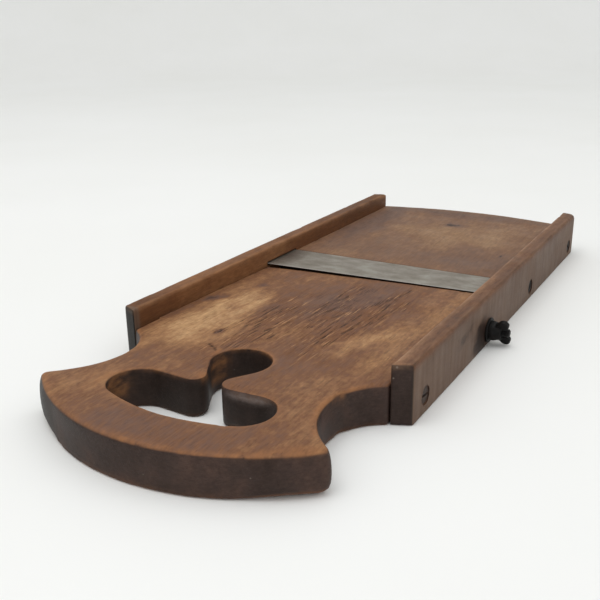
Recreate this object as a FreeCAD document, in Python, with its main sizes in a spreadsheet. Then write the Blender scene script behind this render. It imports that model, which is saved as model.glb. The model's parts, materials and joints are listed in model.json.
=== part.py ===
import FreeCAD, Part
import Sketcher
import math
import os

# Wooden slicer with a tilting front bed: two boards between side rails, a steel blade let into the
# rails, and a clamp bolt with a wing nut that holds the bed at its slice height.
#
# Millimetres. X runs across the bed, Y from the handle to the far end, Z up. The origin lies on the
# underside, midway between the rails and midway along them. Setbacks are measured along Y from the
# rails' front ends, heights from the underside.

Vector = FreeCAD.Vector

SIZES = {
    # Side rails
    "bed_width": 140.0,
    "rail_thickness": 9.2,
    "rail_height": 28.6,
    "rail_length": 308.0,
    "rail_front_slant": 4.2,
    "rail_rear_slant": 3.3,
    "rail_edge_round": 2.2,
    # Both boards
    "board_thickness": 19.0,
    "board_edge_break": 1.2,
    # Front board: it turns between the rails and falls a little towards the blade
    "side_clearance": 0.6,
    "bed_fall": 1.6,
    # Handle outline, from the bowed front over the horns to the neck and the shoulders
    "handle_reach": 89.7,
    "handle_front_radius": 103.0,
    "horn_round": 3.0,
    "flare_radius": 39.0,
    "neck_half_width": 54.3,
    "neck_reach": 25.0,
    "shoulder_radius": 27.5,
    # Hand hole: two palm lobes, two wooden bumps between them and a thumb lobe, each set back from
    # the one before it
    "hole_reach": 65.9,
    "palm_lobe_radius": 13.4,
    "palm_lobe_offset": 27.4,
    "palm_lobe_inset": 18.6,
    "bump_radius": 6.3,
    "bump_offset": 11.1,
    "bump_gap": 18.7,
    "thumb_lobe_radius": 14.2,
    "thumb_gap": 20.6,
    # Blade, flush with the rear board, its ends in kerfs of the rails
    "blade_setback": 130.3,
    "blade_width": 31.6,
    "blade_thickness": 1.6,
    "blade_bevel": 4.0,
    "blade_edge_thickness": 0.3,
    "blade_fit": 0.1,
    "kerf_depth": 4.0,
    "kerf_headroom": 0.6,
    # Throat for the slices, between the front board's end and the rear board
    "throat_front_gap": 0.6,
    "blade_overhang": 8.0,
    "throat_slope": 6.0,
    # Rear board's far edge
    "rear_corner_inset": 1.1,
    "rear_bow": 10.1,
    # Countersunk wood screws
    "screw_head_diameter": 8.6,
    "screw_head_height": 2.1,
    "screw_shank_diameter": 4.4,
    "screw_length": 32.0,
    "screw_point_length": 3.0,
    "screw_slot_width": 1.1,
    "screw_slot_depth": 1.0,
    "screw_sink": 0.5,
    "screw_fit": 0.08,
    "pilot_spare": 1.0,
    "pivot_setback": 18.2,
    "pivot_height": 8.7,
    "middle_screw_gap": 28.5,
    "rear_screw_inset": 16.2,
    "rail_screw_height": 7.7,
    # Clamp bolt, its slots in the rails, the washer and the wing nut
    "clamp_inset": 22.2,
    "clamp_height": 8.3,
    "bolt_diameter": 4.8,
    "bolt_fit": 0.08,
    "bolt_head_diameter": 12.0,
    "bolt_head_height": 3.0,
    "bolt_neck_length": 3.5,
    "bolt_end_stand": 11.4,
    "bolt_end_chamfer": 0.7,
    "bolt_rise": 1.0,
    "bolt_drop": 2.3,
    "slot_clearance": 0.25,
    "washer_diameter": 13.6,
    "washer_thickness": 1.2,
    "nut_base_diameter": 10.4,
    "nut_top_diameter": 8.0,
    "nut_collar_height": 1.6,
    "nut_height": 6.4,
    "wing_span": 16.2,
    "wing_height": 10.2,
    "wing_lobe_radius": 2.7,
    "wing_thickness": 2.6,
    "nut_rest_angle": 118.0,
}

# Places that several pieces share, as expressions in the sheet's sizes
CENTRE = "0"
INNER = "sizes.bed_width / 2"
OUTER = "sizes.bed_width / 2 + sizes.rail_thickness"
FRONT_END = "-sizes.rail_length / 2"
BOARD_SIDE = "sizes.bed_width / 2 - sizes.side_clearance"
BED_END = "sizes.blade_setback - sizes.throat_front_gap"
BOARD_TOP = "sizes.board_thickness"
BLADE_FLOOR = "sizes.board_thickness - sizes.blade_thickness"
BLADE_BACK = "sizes.blade_setback + sizes.blade_width"
THROAT_BACK = "sizes.blade_setback + sizes.blade_overhang"
REAR_CORNER = "sizes.rail_length - sizes.rear_corner_inset"
PALM_REACH = "(sizes.hole_reach - sizes.palm_lobe_inset)"
BUMP_REACH = "(%s - sizes.bump_gap)" % PALM_REACH
THUMB_REACH = "(%s - sizes.thumb_gap)" % BUMP_REACH
PIVOT_SETBACK = "sizes.pivot_setback"
CLAMP_SETBACK = "(%s - sizes.clamp_inset)" % BED_END
# Rail screws behind the blade and at the far end, by name
RAIL_SCREWS = {
    "middle": "(%s + sizes.middle_screw_gap)" % BLADE_BACK,
    "rear": "(sizes.rail_length - sizes.rear_screw_inset)",
}
SHANK_RADIUS = "sizes.screw_shank_diameter / 2"
HEAD_RADIUS = "sizes.screw_head_diameter / 2"
BOLT_RADIUS = "sizes.bolt_diameter / 2"
# Cutting profiles run past the faces that they open by this much
PAST = "1"
# Places closer than this count as the same
SAME = 1e-4

# How a sketch numbers a curve's points, and its own two axes
START, END, MIDDLE = range(1, 4)
HORIZONTAL_AXIS, VERTICAL_AXIS = range(-1, -3, -1)

doc = FreeCAD.newDocument("slicer")
sheet = doc.addObject("Spreadsheet::Sheet", "sizes")
for row, (alias, size) in enumerate(SIZES.items(), start=1):
    sheet.set("A%d" % row, alias)
    sheet.set("B%d" % row, str(size))
    sheet.setAlias("B%d" % row, alias)
doc.recompute()


def value(expression):
    """Number that an expression in the sheet's sizes comes to."""
    return float(sheet.evalExpression(expression))


def point(across, along):
    """Sketch point from two expressions."""
    return Vector(value(across), value(along), 0)


def new_body(label):
    """Empty body in the slicer's frame, with setbacks counted from the rails' front ends."""
    body = doc.addObject("PartDesign::Body", label)
    body.Label = label
    body.setExpression("Placement.Base.y", FRONT_END)
    return body


def origin_plane(body, role):
    """The body's own origin plane of that role."""
    return next(feature for feature in body.Origin.OriginFeatures if feature.Role == role)


def new_sketch(body, name, role, offset=()):
    """Sketch on an origin plane, moved in the plane's own axes by the expressions in offset."""
    sketch = body.newObject("Sketcher::SketchObject", name)
    sketch.AttachmentSupport = [(origin_plane(body, role), "")]
    sketch.MapMode = "FlatFace"
    for axis, expression in zip("xyz", offset):
        sketch.setExpression("AttachmentOffset.Base." + axis, expression)
    return sketch


def tie(sketch, kind, *place):
    """Add a dimension that follows an expression, which is the last item of place."""
    *where, expression = place
    index = sketch.addConstraint(Sketcher.Constraint(kind, *where, value(expression)))
    sketch.setExpression("Constraints[%d]" % index, expression)


def pin_point(sketch, curve, end, across, along):
    """Fix one point of a curve by two expressions."""
    tie(sketch, "DistanceX", curve, end, across)
    tie(sketch, "DistanceY", curve, end, along)


def relate(sketch, kind, *pairs):
    """Add one plain constraint of a kind for each tuple of curves and points."""
    for pair in pairs:
        sketch.addConstraint(Sketcher.Constraint(kind, *pair))


def draw_line(sketch, start, end):
    return sketch.addGeometry(Part.LineSegment(start, end), False)


def draw_arc(sketch, centre, start, end):
    """Arc about a centre, anticlockwise from start to end."""
    first = math.atan2(start.y - centre.y, start.x - centre.x)
    last = math.atan2(end.y - centre.y, end.x - centre.x)
    if last <= first:
        last += 2 * math.pi
    circle = Part.Circle(centre, Vector(0, 0, 1), (start - centre).Length)
    return sketch.addGeometry(Part.ArcOfCircle(circle, first, last), False)


def draw_polygon(sketch, corners):
    """Closed outline of straight edges, each corner a pair of expressions."""
    points = [point(*corner) for corner in corners]
    count = len(points)
    edges = [draw_line(sketch, points[i], points[(i + 1) % count]) for i in range(count)]
    for i, corner in enumerate(corners):
        relate(sketch, "Coincident", (edges[i - 1], END, edges[i], START))
        pin_point(sketch, edges[i], START, *corner)


def draw_circle(sketch, radius):
    """Circle about the sketch's origin."""
    circle = sketch.addGeometry(Part.Circle(Vector(), Vector(0, 0, 1), value(radius)), False)
    relate(sketch, "Coincident", (circle, MIDDLE, HORIZONTAL_AXIS, START))
    tie(sketch, "Radius", circle, radius)


def toward(start, end, distance):
    """Point at a distance from start on the way to end."""
    return start + (end - start).normalize() * distance


def circles_meet(first, first_radius, second, second_radius):
    """Where two circles meet, to the right of the way from the first centre to the second."""
    way = second - first
    gap = way.Length
    along = (first_radius ** 2 - second_radius ** 2 + gap ** 2) / (2 * gap)
    across = math.sqrt(first_radius ** 2 - along ** 2)
    way.normalize()
    return first + way * along + Vector(way.y, -way.x, 0) * across


def crossing_line(first, first_radius, second, second_radius, turn):
    """Touch points of a line that crosses between two circles and touches both."""
    way = second - first
    lean = math.acos((first_radius + second_radius) / way.Length)
    heading = math.atan2(way.y, way.x) + turn * lean
    normal = Vector(math.cos(heading), math.sin(heading), 0)
    return first + normal * first_radius, second - normal * second_radius


def new_feature(body, kind, name, sketch):
    feature = body.newObject("PartDesign::" + kind, name)
    feature.Profile = sketch
    return feature


def pad(body, name, sketch, length, side="One side"):
    feature = new_feature(body, "Pad", name, sketch)
    feature.SideType = side
    feature.setExpression("Length", length)
    doc.recompute()
    return feature


def cut(body, name, sketch, length, side="One side", reverse=False):
    """Pocket that has to take some wood or metal away."""
    before = body.Shape.Volume
    feature = new_feature(body, "Pocket", name, sketch)
    feature.SideType = side
    feature.Reversed = reverse
    feature.setExpression("Length", length)
    doc.recompute()
    if not body.Shape.Volume < before:
        raise RuntimeError(name + " cuts nothing")
    return feature


def spin(body, kind, name, corners, offset=()):
    """Turned form, Revolution or Groove, about the X axis through the sketch's origin.

    The corners pair a place along X with a radius.
    """
    sketch = new_sketch(body, name + "_section", "XY_Plane", offset)
    draw_polygon(sketch, corners)
    feature = new_feature(body, kind, name, sketch)
    feature.ReferenceAxis = (sketch, ["H_Axis"])
    feature.Angle = 360
    doc.recompute()
    return feature


def mirror_half(body, name, role="YZ_Plane"):
    """Whole piece from what lies on one side of an origin plane."""
    feature = body.newObject("PartDesign::Mirrored", name)
    feature.TransformMode = "Whole shape"
    feature.MirrorPlane = (origin_plane(body, role), [""])
    body.Tip = feature
    doc.recompute()


def ease_edges(body, kind, name, size, chosen):
    """Ease the edges of the body that a test picks, with a Fillet or a Chamfer of that size."""
    base = body.Tip
    names = ["Edge%d" % i for i, edge in enumerate(body.Shape.Edges, start=1) if chosen(edge)]
    feature = body.newObject("PartDesign::" + kind, name)
    feature.Base = (base, names)
    feature.setExpression({"Fillet": "Radius", "Chamfer": "Size"}[kind], size)
    doc.recompute()


def local_box(body, edge):
    """Edge's box in the body's own axes."""
    shift = body.Placement.Base
    box = edge.BoundBox
    return FreeCAD.BoundBox(
        box.XMin - shift.x, box.YMin - shift.y, box.ZMin - shift.z,
        box.XMax - shift.x, box.YMax - shift.y, box.ZMax - shift.z,
    )


def is_level(box, height):
    """True where a box is flat at that height."""
    return abs(box.ZMin - height) < SAME and abs(box.ZMax - height) < SAME


# Front board


def draw_half_handle(sketch):
    """Right half of the front board's plan, tangent arcs from the bowed front to the shoulder."""
    front_radius = value("sizes.handle_front_radius")
    horn_round = value("sizes.horn_round")
    flare_radius = value("sizes.flare_radius")
    shoulder_radius = value("sizes.shoulder_radius")
    side = value(BOARD_SIDE)

    apex = point(CENTRE, "-sizes.handle_reach")
    neck = point("sizes.neck_half_width", "-sizes.neck_reach")
    end_corner = point(BOARD_SIDE, BED_END)
    end_middle = point(CENTRE, BED_END)
    front_centre = apex + Vector(0, front_radius, 0)
    flare_centre = neck + Vector(flare_radius, 0, 0)
    shoulder_centre = neck + Vector(shoulder_radius, 0, 0)
    horn_centre = circles_meet(
        front_centre, front_radius - horn_round, flare_centre, flare_radius + horn_round
    )
    horn_front = toward(front_centre, horn_centre, front_radius)
    horn_back = toward(flare_centre, horn_centre, flare_radius)
    shoulder_rise = math.sqrt(shoulder_radius ** 2 - (shoulder_centre.x - side) ** 2)
    shoulder = Vector(side, neck.y + shoulder_rise, 0)

    middle = draw_line(sketch, end_middle, apex)
    front = draw_arc(sketch, front_centre, apex, horn_front)
    horn = draw_arc(sketch, horn_centre, horn_front, horn_back)
    flare = draw_arc(sketch, flare_centre, neck, horn_back)
    arm = draw_arc(sketch, shoulder_centre, shoulder, neck)
    edge = draw_line(sketch, shoulder, end_corner)
    end = draw_line(sketch, end_corner, end_middle)

    relate(
        sketch, "Coincident",
        (middle, END, front, START), (arm, START, edge, START),
        (edge, END, end, START), (end, END, middle, START),
    )
    relate(
        sketch, "Tangent",
        (front, END, horn, START), (horn, END, flare, END), (flare, START, arm, END),
    )
    relate(
        sketch, "PointOnObject",
        (middle, START, VERTICAL_AXIS), (middle, END, VERTICAL_AXIS), (front, MIDDLE, VERTICAL_AXIS),
    )
    relate(sketch, "Vertical", (edge,))
    relate(sketch, "Horizontal", (end,))
    tie(sketch, "DistanceY", middle, END, "-sizes.handle_reach")
    tie(sketch, "Radius", front, "sizes.handle_front_radius")
    tie(sketch, "Radius", horn, "sizes.horn_round")
    tie(sketch, "Radius", flare, "sizes.flare_radius")
    tie(sketch, "Radius", arm, "sizes.shoulder_radius")
    pin_point(sketch, flare, START, "sizes.neck_half_width", "-sizes.neck_reach")
    tie(sketch, "DistanceY", flare, MIDDLE, "-sizes.neck_reach")
    pin_point(sketch, end, START, BOARD_SIDE, BED_END)


def draw_half_hole(sketch):
    """Right half of the hand hole: bowed front, palm lobe, wooden bump and thumb lobe, all tangent."""
    palm_radius = value("sizes.palm_lobe_radius")
    bump_radius = value("sizes.bump_radius")
    thumb_radius = value("sizes.thumb_lobe_radius")

    front_point = point(CENTRE, "-sizes.hole_reach")
    palm_centre = point("sizes.palm_lobe_offset", "-" + PALM_REACH)
    bump_centre = point("sizes.bump_offset", "-" + BUMP_REACH)
    thumb_centre = point(CENTRE, "-" + THUMB_REACH)
    thumb_top = thumb_centre + Vector(0, thumb_radius, 0)
    # The front arc is centred on the middle line and holds the palm lobe inside it
    palm_depth = palm_centre.y - front_point.y
    front_radius = (palm_centre.x ** 2 + palm_depth ** 2 - palm_radius ** 2) / (
        2 * (palm_depth - palm_radius)
    )
    front_centre = front_point + Vector(0, front_radius, 0)
    palm_front = toward(front_centre, palm_centre, front_radius)
    palm_top, bump_front = crossing_line(palm_centre, palm_radius, bump_centre, bump_radius, -1)
    thumb_side, bump_back = crossing_line(thumb_centre, thumb_radius, bump_centre, bump_radius, 1)

    middle = draw_line(sketch, thumb_top, front_point)
    front = draw_arc(sketch, front_centre, front_point, palm_front)
    palm = draw_arc(sketch, palm_centre, palm_front, palm_top)
    under = draw_line(sketch, palm_top, bump_front)
    bump = draw_arc(sketch, bump_centre, bump_back, bump_front)
    over = draw_line(sketch, bump_back, thumb_side)
    thumb = draw_arc(sketch, thumb_centre, thumb_side, thumb_top)

    relate(sketch, "Coincident", (middle, END, front, START), (thumb, END, middle, START))
    relate(
        sketch, "Tangent",
        (front, END, palm, START), (palm, END, under, START), (under, END, bump, END),
        (bump, START, over, START), (over, END, thumb, START),
    )
    relate(
        sketch, "PointOnObject",
        (middle, START, VERTICAL_AXIS), (middle, END, VERTICAL_AXIS),
        (front, MIDDLE, VERTICAL_AXIS), (thumb, MIDDLE, VERTICAL_AXIS),
    )
    tie(sketch, "DistanceY", middle, END, "-sizes.hole_reach")
    tie(sketch, "Radius", palm, "sizes.palm_lobe_radius")
    tie(sketch, "Radius", bump, "sizes.bump_radius")
    tie(sketch, "Radius", thumb, "sizes.thumb_lobe_radius")
    pin_point(sketch, palm, MIDDLE, "sizes.palm_lobe_offset", "-" + PALM_REACH)
    pin_point(sketch, bump, MIDDLE, "sizes.bump_offset", "-" + BUMP_REACH)
    tie(sketch, "DistanceY", thumb, MIDDLE, "-" + THUMB_REACH)


def cut_pilot(body, name, setback, height):
    """Blind hole in a board's right side for a wood screw, a little deeper than its point."""
    bottom = "%s - sizes.screw_sink - sizes.screw_length - sizes.pilot_spare" % OUTER
    radius = "%s + sizes.screw_fit" % SHANK_RADIUS
    mouth = "%s + %s" % (INNER, PAST)
    corners = [(bottom, "0"), (mouth, "0"), (mouth, radius), (bottom, radius)]
    spin(body, "Groove", name, corners, ("0", setback, height))


def make_front_board():
    """Bed and handle in one plank, with the hand hole, the pivot holes and the clamp bore."""
    body = new_body("front_board")
    plan = new_sketch(body, "handle_plan", "XY_Plane")
    draw_half_handle(plan)
    pad(body, "handle_half", plan, BOARD_TOP)
    hole = new_sketch(body, "hand_hole_plan", "XY_Plane")
    draw_half_hole(hole)
    cut(body, "hand_hole", hole, BOARD_TOP, reverse=True)
    cut_pilot(body, "pivot_hole", PIVOT_SETBACK, "sizes.pivot_height")
    mirror_half(body, "front_board_whole")

    full_width = "2 * (%s)" % INNER
    fall = new_sketch(body, "bed_fall_side", "YZ_Plane")
    low_end = "%s - sizes.bed_fall" % BOARD_TOP
    draw_polygon(fall, [(PIVOT_SETBACK, BOARD_TOP), (BED_END, low_end), (BED_END, BOARD_TOP)])
    cut(body, "bed_slope", fall, full_width, "Symmetric")
    bore = new_sketch(body, "clamp_bore_end", "YZ_Plane", (CLAMP_SETBACK, "sizes.clamp_height"))
    draw_circle(bore, "%s + sizes.bolt_fit" % BOLT_RADIUS)
    cut(body, "clamp_bore", bore, full_width, "Symmetric")

    side = value(BOARD_SIDE)
    top = value(BOARD_TOP)

    def worn(edge):
        """Handle and hand hole edges, above and below, but not those along the rails."""
        box = local_box(body, edge)
        beside_rail = min(abs(box.XMin), abs(box.XMax)) > side - SAME
        ahead = box.YMax < value(PIVOT_SETBACK) - SAME
        return ahead and not beside_rail and (is_level(box, 0) or is_level(box, top))

    ease_edges(body, "Chamfer", "worn_edges", "sizes.board_edge_break", worn)
    return body


# Rear board


def draw_half_rear(sketch):
    """Right half of the rear board's plan with its bowed far edge."""
    rear_corner = point(INNER, REAR_CORNER)
    apex = rear_corner + Vector(-value(INNER), value("sizes.rear_bow"), 0)
    bow_radius = "((%s)^2 + sizes.rear_bow^2) / (2 * sizes.rear_bow)" % INNER
    bow_centre = apex - Vector(0, value(bow_radius), 0)
    front_middle = point(CENTRE, THROAT_BACK)
    front_corner = point(INNER, THROAT_BACK)

    middle = draw_line(sketch, apex, front_middle)
    front = draw_line(sketch, front_middle, front_corner)
    side = draw_line(sketch, front_corner, rear_corner)
    bow = draw_arc(sketch, bow_centre, rear_corner, apex)
    relate(
        sketch, "Coincident",
        (middle, END, front, START), (front, END, side, START),
        (side, END, bow, START), (bow, END, middle, START),
    )
    relate(sketch, "PointOnObject", (middle, START, VERTICAL_AXIS), (bow, MIDDLE, VERTICAL_AXIS))
    pin_point(sketch, front, START, CENTRE, THROAT_BACK)
    pin_point(sketch, side, START, INNER, THROAT_BACK)
    pin_point(sketch, side, END, INNER, REAR_CORNER)
    tie(sketch, "Radius", bow, bow_radius)


def make_rear_board():
    """Fixed board that carries the blade in a rebate and slopes away under it."""
    body = new_body("rear_board")
    plan = new_sketch(body, "rear_plan", "XY_Plane")
    draw_half_rear(plan)
    pad(body, "rear_half", plan, BOARD_TOP)
    for name, setback in RAIL_SCREWS.items():
        cut_pilot(body, name + "_pilot", setback, "sizes.rail_screw_height")
    mirror_half(body, "rear_board_whole")

    full_width = "2 * (%s)" % OUTER
    rebate = new_sketch(body, "blade_rebate_side", "YZ_Plane")
    rebate_back = "%s + sizes.blade_fit" % BLADE_BACK
    ahead = "%s - %s" % (THROAT_BACK, PAST)
    above = "%s + %s" % (BOARD_TOP, PAST)
    draw_polygon(
        rebate,
        [(ahead, BLADE_FLOOR), (rebate_back, BLADE_FLOOR), (rebate_back, above), (ahead, above)],
    )
    cut(body, "blade_rebate", rebate, full_width, "Symmetric")
    slope = new_sketch(body, "throat_slope_side", "YZ_Plane")
    slope_foot = "%s + sizes.throat_slope" % THROAT_BACK
    draw_polygon(slope, [(THROAT_BACK, "0"), (slope_foot, "0"), (THROAT_BACK, BLADE_FLOOR)])
    cut(body, "throat_face", slope, full_width, "Symmetric")

    corner = value(REAR_CORNER)
    top = value(BOARD_TOP)

    def far_edge(edge):
        box = local_box(body, edge)
        return box.YMin > corner - SAME and (is_level(box, 0) or is_level(box, top))

    ease_edges(body, "Chamfer", "far_edges", "sizes.board_edge_break", far_edge)
    return body


# Side rails


def cut_screw_seat(body, name, setback, height):
    """Countersunk clearance hole through the right rail."""
    shank = "%s + sizes.screw_fit" % SHANK_RADIUS
    head = "%s + sizes.screw_fit" % HEAD_RADIUS
    inside = "%s - %s" % (INNER, PAST)
    outside = "%s + %s" % (OUTER, PAST)
    head_face = "%s - sizes.screw_sink" % OUTER
    head_root = "%s - sizes.screw_head_height" % head_face
    corners = [
        (inside, "0"), (outside, "0"), (outside, head),
        (head_face, head), (head_root, shank), (inside, shank),
    ]
    spin(body, "Groove", name, corners, ("0", setback, height))


def make_right_rail():
    """Side rail with slanted ends, blade kerf, clamp slot and three countersunk holes."""
    body = new_body("right_rail")
    plan = new_sketch(body, "rail_plan", "XY_Plane")
    draw_polygon(
        plan,
        [
            (INNER, "0"),
            (OUTER, "sizes.rail_front_slant"),
            (OUTER, "sizes.rail_length - sizes.rail_rear_slant"),
            (INNER, "sizes.rail_length"),
        ],
    )
    pad(body, "rail_blank", plan, "sizes.rail_height")
    top = value("sizes.rail_height")
    edge_round = "min(sizes.rail_edge_round; sizes.rail_thickness / 3)"
    ease_edges(body, "Fillet", "worn_top", edge_round, lambda edge: is_level(edge.BoundBox, top))

    kerf = new_sketch(body, "blade_kerf_side", "YZ_Plane", ("0", "0", INNER))
    kerf_front = "sizes.blade_setback - sizes.blade_fit"
    kerf_back = "%s + sizes.blade_fit" % BLADE_BACK
    kerf_floor = "%s - sizes.blade_fit" % BLADE_FLOOR
    kerf_roof = "%s + sizes.kerf_headroom" % BOARD_TOP
    draw_polygon(
        kerf,
        [(kerf_front, kerf_floor), (kerf_back, kerf_floor), (kerf_back, kerf_roof), (kerf_front, kerf_roof)],
    )
    cut(body, "blade_kerf", kerf, "sizes.kerf_depth", reverse=True)

    slot = new_sketch(body, "clamp_slot_side", "YZ_Plane", ("0", "0", INNER))
    half_slot = "(%s + sizes.slot_clearance)" % BOLT_RADIUS
    slot_front = "%s - %s" % (CLAMP_SETBACK, half_slot)
    slot_back = "%s + %s" % (CLAMP_SETBACK, half_slot)
    slot_foot = "sizes.clamp_height - sizes.bolt_drop - %s" % half_slot
    slot_head = "sizes.clamp_height + sizes.bolt_rise + %s" % half_slot
    draw_polygon(
        slot,
        [(slot_front, slot_foot), (slot_back, slot_foot), (slot_back, slot_head), (slot_front, slot_head)],
    )
    cut(body, "clamp_slot", slot, "sizes.rail_thickness", reverse=True)

    cut_screw_seat(body, "pivot_seat", PIVOT_SETBACK, "sizes.pivot_height")
    for name, setback in RAIL_SCREWS.items():
        cut_screw_seat(body, name + "_seat", setback, "sizes.rail_screw_height")
    return body


def make_left_rail(right_rail):
    """Mirror image of the right rail."""
    rail = doc.addObject("Part::Mirroring", "left_rail")
    rail.Label = "left_rail"
    rail.Source = right_rail
    rail.Normal = Vector(1, 0, 0)
    doc.recompute()
    return rail


# Blade


def make_blade():
    """Flat steel blade, ground to its edge on the underside."""
    body = new_body("blade")
    section = new_sketch(body, "blade_section", "YZ_Plane")
    edge_under = "%s - sizes.blade_edge_thickness" % BOARD_TOP
    bevel_root = "sizes.blade_setback + sizes.blade_bevel"
    draw_polygon(
        section,
        [
            ("sizes.blade_setback", BOARD_TOP),
            ("sizes.blade_setback", edge_under),
            (bevel_root, BLADE_FLOOR),
            (BLADE_BACK, BLADE_FLOOR),
            (BLADE_BACK, BOARD_TOP),
        ],
    )
    pad(body, "blade_bar", section, "2 * (%s + sizes.kerf_depth - sizes.blade_fit)" % INNER, "Symmetric")
    return body


# Wood screws


def make_screw(label, side, setback, height, slot_angle):
    """Slotted countersunk wood screw through a rail, side 1 for the right rail and -1 for the left."""
    body = doc.addObject("PartDesign::Body", label)
    body.Label = label
    point_root = "-(sizes.screw_length - sizes.screw_point_length)"
    spin(
        body, "Revolution", label + "_turned",
        [
            ("0", "0"),
            ("0", HEAD_RADIUS),
            ("-sizes.screw_head_height", SHANK_RADIUS),
            (point_root, SHANK_RADIUS),
            ("-sizes.screw_length", "0"),
        ],
    )
    slot = new_sketch(body, label + "_slot_face", "YZ_Plane")
    half_length = "%s + %s" % (HEAD_RADIUS, PAST)
    half_width = "sizes.screw_slot_width / 2"
    draw_polygon(
        slot,
        [
            ("-(%s)" % half_length, "-%s" % half_width), (half_length, "-%s" % half_width),
            (half_length, half_width), ("-(%s)" % half_length, half_width),
        ],
    )
    cut(body, label + "_slot", slot, "sizes.screw_slot_depth")
    facing = FreeCAD.Rotation(Vector(0, 0, 1), 0 if side > 0 else 180)
    body.Placement = FreeCAD.Placement(Vector(), facing * FreeCAD.Rotation(Vector(1, 0, 0), slot_angle))
    body.setExpression("Placement.Base.x", "%d * (%s - sizes.screw_sink)" % (side, OUTER))
    body.setExpression("Placement.Base.y", "%s + %s" % (setback, FRONT_END))
    body.setExpression("Placement.Base.z", height)
    return body


# Clamp


def place_on_clamp(body, across):
    """Set a piece's own origin on the clamp axis."""
    body.setExpression("Placement.Base.x", across)
    body.setExpression("Placement.Base.y", "%s + %s" % (CLAMP_SETBACK, FRONT_END))
    body.setExpression("Placement.Base.z", "sizes.clamp_height")


def make_clamp_bolt():
    """Round-headed bolt across both rails; its square neck keeps it from turning in the left slot."""
    body = doc.addObject("PartDesign::Body", "clamp_bolt")
    body.Label = "clamp_bolt"
    head_radius = "sizes.bolt_head_diameter / 2"
    head_seat = "-(%s)" % OUTER
    head_crown = "%s - sizes.bolt_head_height" % head_seat
    tip = "%s + sizes.bolt_end_stand" % OUTER
    tip_root = "%s - sizes.bolt_end_chamfer" % tip
    tip_radius = "%s - sizes.bolt_end_chamfer" % BOLT_RADIUS
    dome_radius = "((%s)^2 + sizes.bolt_head_height^2) / (2 * sizes.bolt_head_height)" % head_radius

    section = new_sketch(body, "bolt_section", "XY_Plane")
    outline = [
        (head_crown, "0"), (tip, "0"), (tip, tip_radius), (tip_root, BOLT_RADIUS),
        (head_seat, BOLT_RADIUS), (head_seat, head_radius),
    ]
    points = [point(*corner) for corner in outline]
    edges = [draw_line(sketch=section, start=a, end=b) for a, b in zip(points, points[1:])]
    dome = draw_arc(section, points[0] + Vector(value(dome_radius), 0, 0), points[-1], points[0])
    for before, after in zip(edges, edges[1:]):
        relate(section, "Coincident", (before, END, after, START))
    relate(section, "Coincident", (edges[-1], END, dome, START), (dome, END, edges[0], START))
    for edge, corner in zip(edges, outline):
        pin_point(section, edge, START, *corner)
    pin_point(section, edges[-1], END, *outline[-1])
    tie(section, "Radius", dome, dome_radius)
    turned = new_feature(body, "Revolution", "bolt_turned", section)
    turned.ReferenceAxis = (section, ["H_Axis"])
    turned.Angle = 360
    doc.recompute()

    neck = new_sketch(body, "bolt_neck_face", "YZ_Plane", ("0", "0", head_seat))
    draw_polygon(
        neck,
        [
            ("-" + BOLT_RADIUS, "-" + BOLT_RADIUS), (BOLT_RADIUS, "-" + BOLT_RADIUS),
            (BOLT_RADIUS, BOLT_RADIUS), ("-" + BOLT_RADIUS, BOLT_RADIUS),
        ],
    )
    pad(body, "bolt_neck", neck, "sizes.bolt_neck_length")
    place_on_clamp(body, "0")
    return body


def make_nut_washer():
    """Plain washer between the right rail and the wing nut."""
    body = doc.addObject("PartDesign::Body", "nut_washer")
    body.Label = "nut_washer"
    bore = "%s + sizes.bolt_fit" % BOLT_RADIUS
    rim = "sizes.washer_diameter / 2"
    depth = "sizes.washer_thickness"
    spin(body, "Revolution", "washer_ring", [("0", bore), (depth, bore), (depth, rim), ("0", rim)])
    place_on_clamp(body, OUTER)
    return body


def draw_wing(sketch):
    """One wing: a round lobe whose edges run tangent into the hub's wall."""
    lobe_radius = value("sizes.wing_lobe_radius")
    lobe_along = "sizes.wing_height - sizes.wing_lobe_radius"
    lobe_out = "sizes.wing_span / 2 - sizes.wing_lobe_radius"
    root_along = "sizes.nut_collar_height"
    root_out = "%s - sizes.wing_lobe_radius" % lobe_out
    root = point(root_along, root_out)
    lobe = point(lobe_along, lobe_out)
    inner_touch = lobe - Vector(0, lobe_radius, 0)
    way = root - lobe
    heading = math.atan2(way.y, way.x) - math.acos(lobe_radius / way.Length)
    outer_touch = lobe + Vector(math.cos(heading), math.sin(heading), 0) * lobe_radius

    rising = draw_line(sketch, root, outer_touch)
    round_end = draw_arc(sketch, lobe, inner_touch, outer_touch)
    base = draw_line(sketch, inner_touch, root)
    relate(sketch, "Coincident", (base, END, rising, START))
    relate(sketch, "Tangent", (rising, END, round_end, END), (round_end, START, base, START))
    pin_point(sketch, rising, START, root_along, root_out)
    pin_point(sketch, round_end, MIDDLE, lobe_along, lobe_out)
    tie(sketch, "Radius", round_end, "sizes.wing_lobe_radius")


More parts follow.
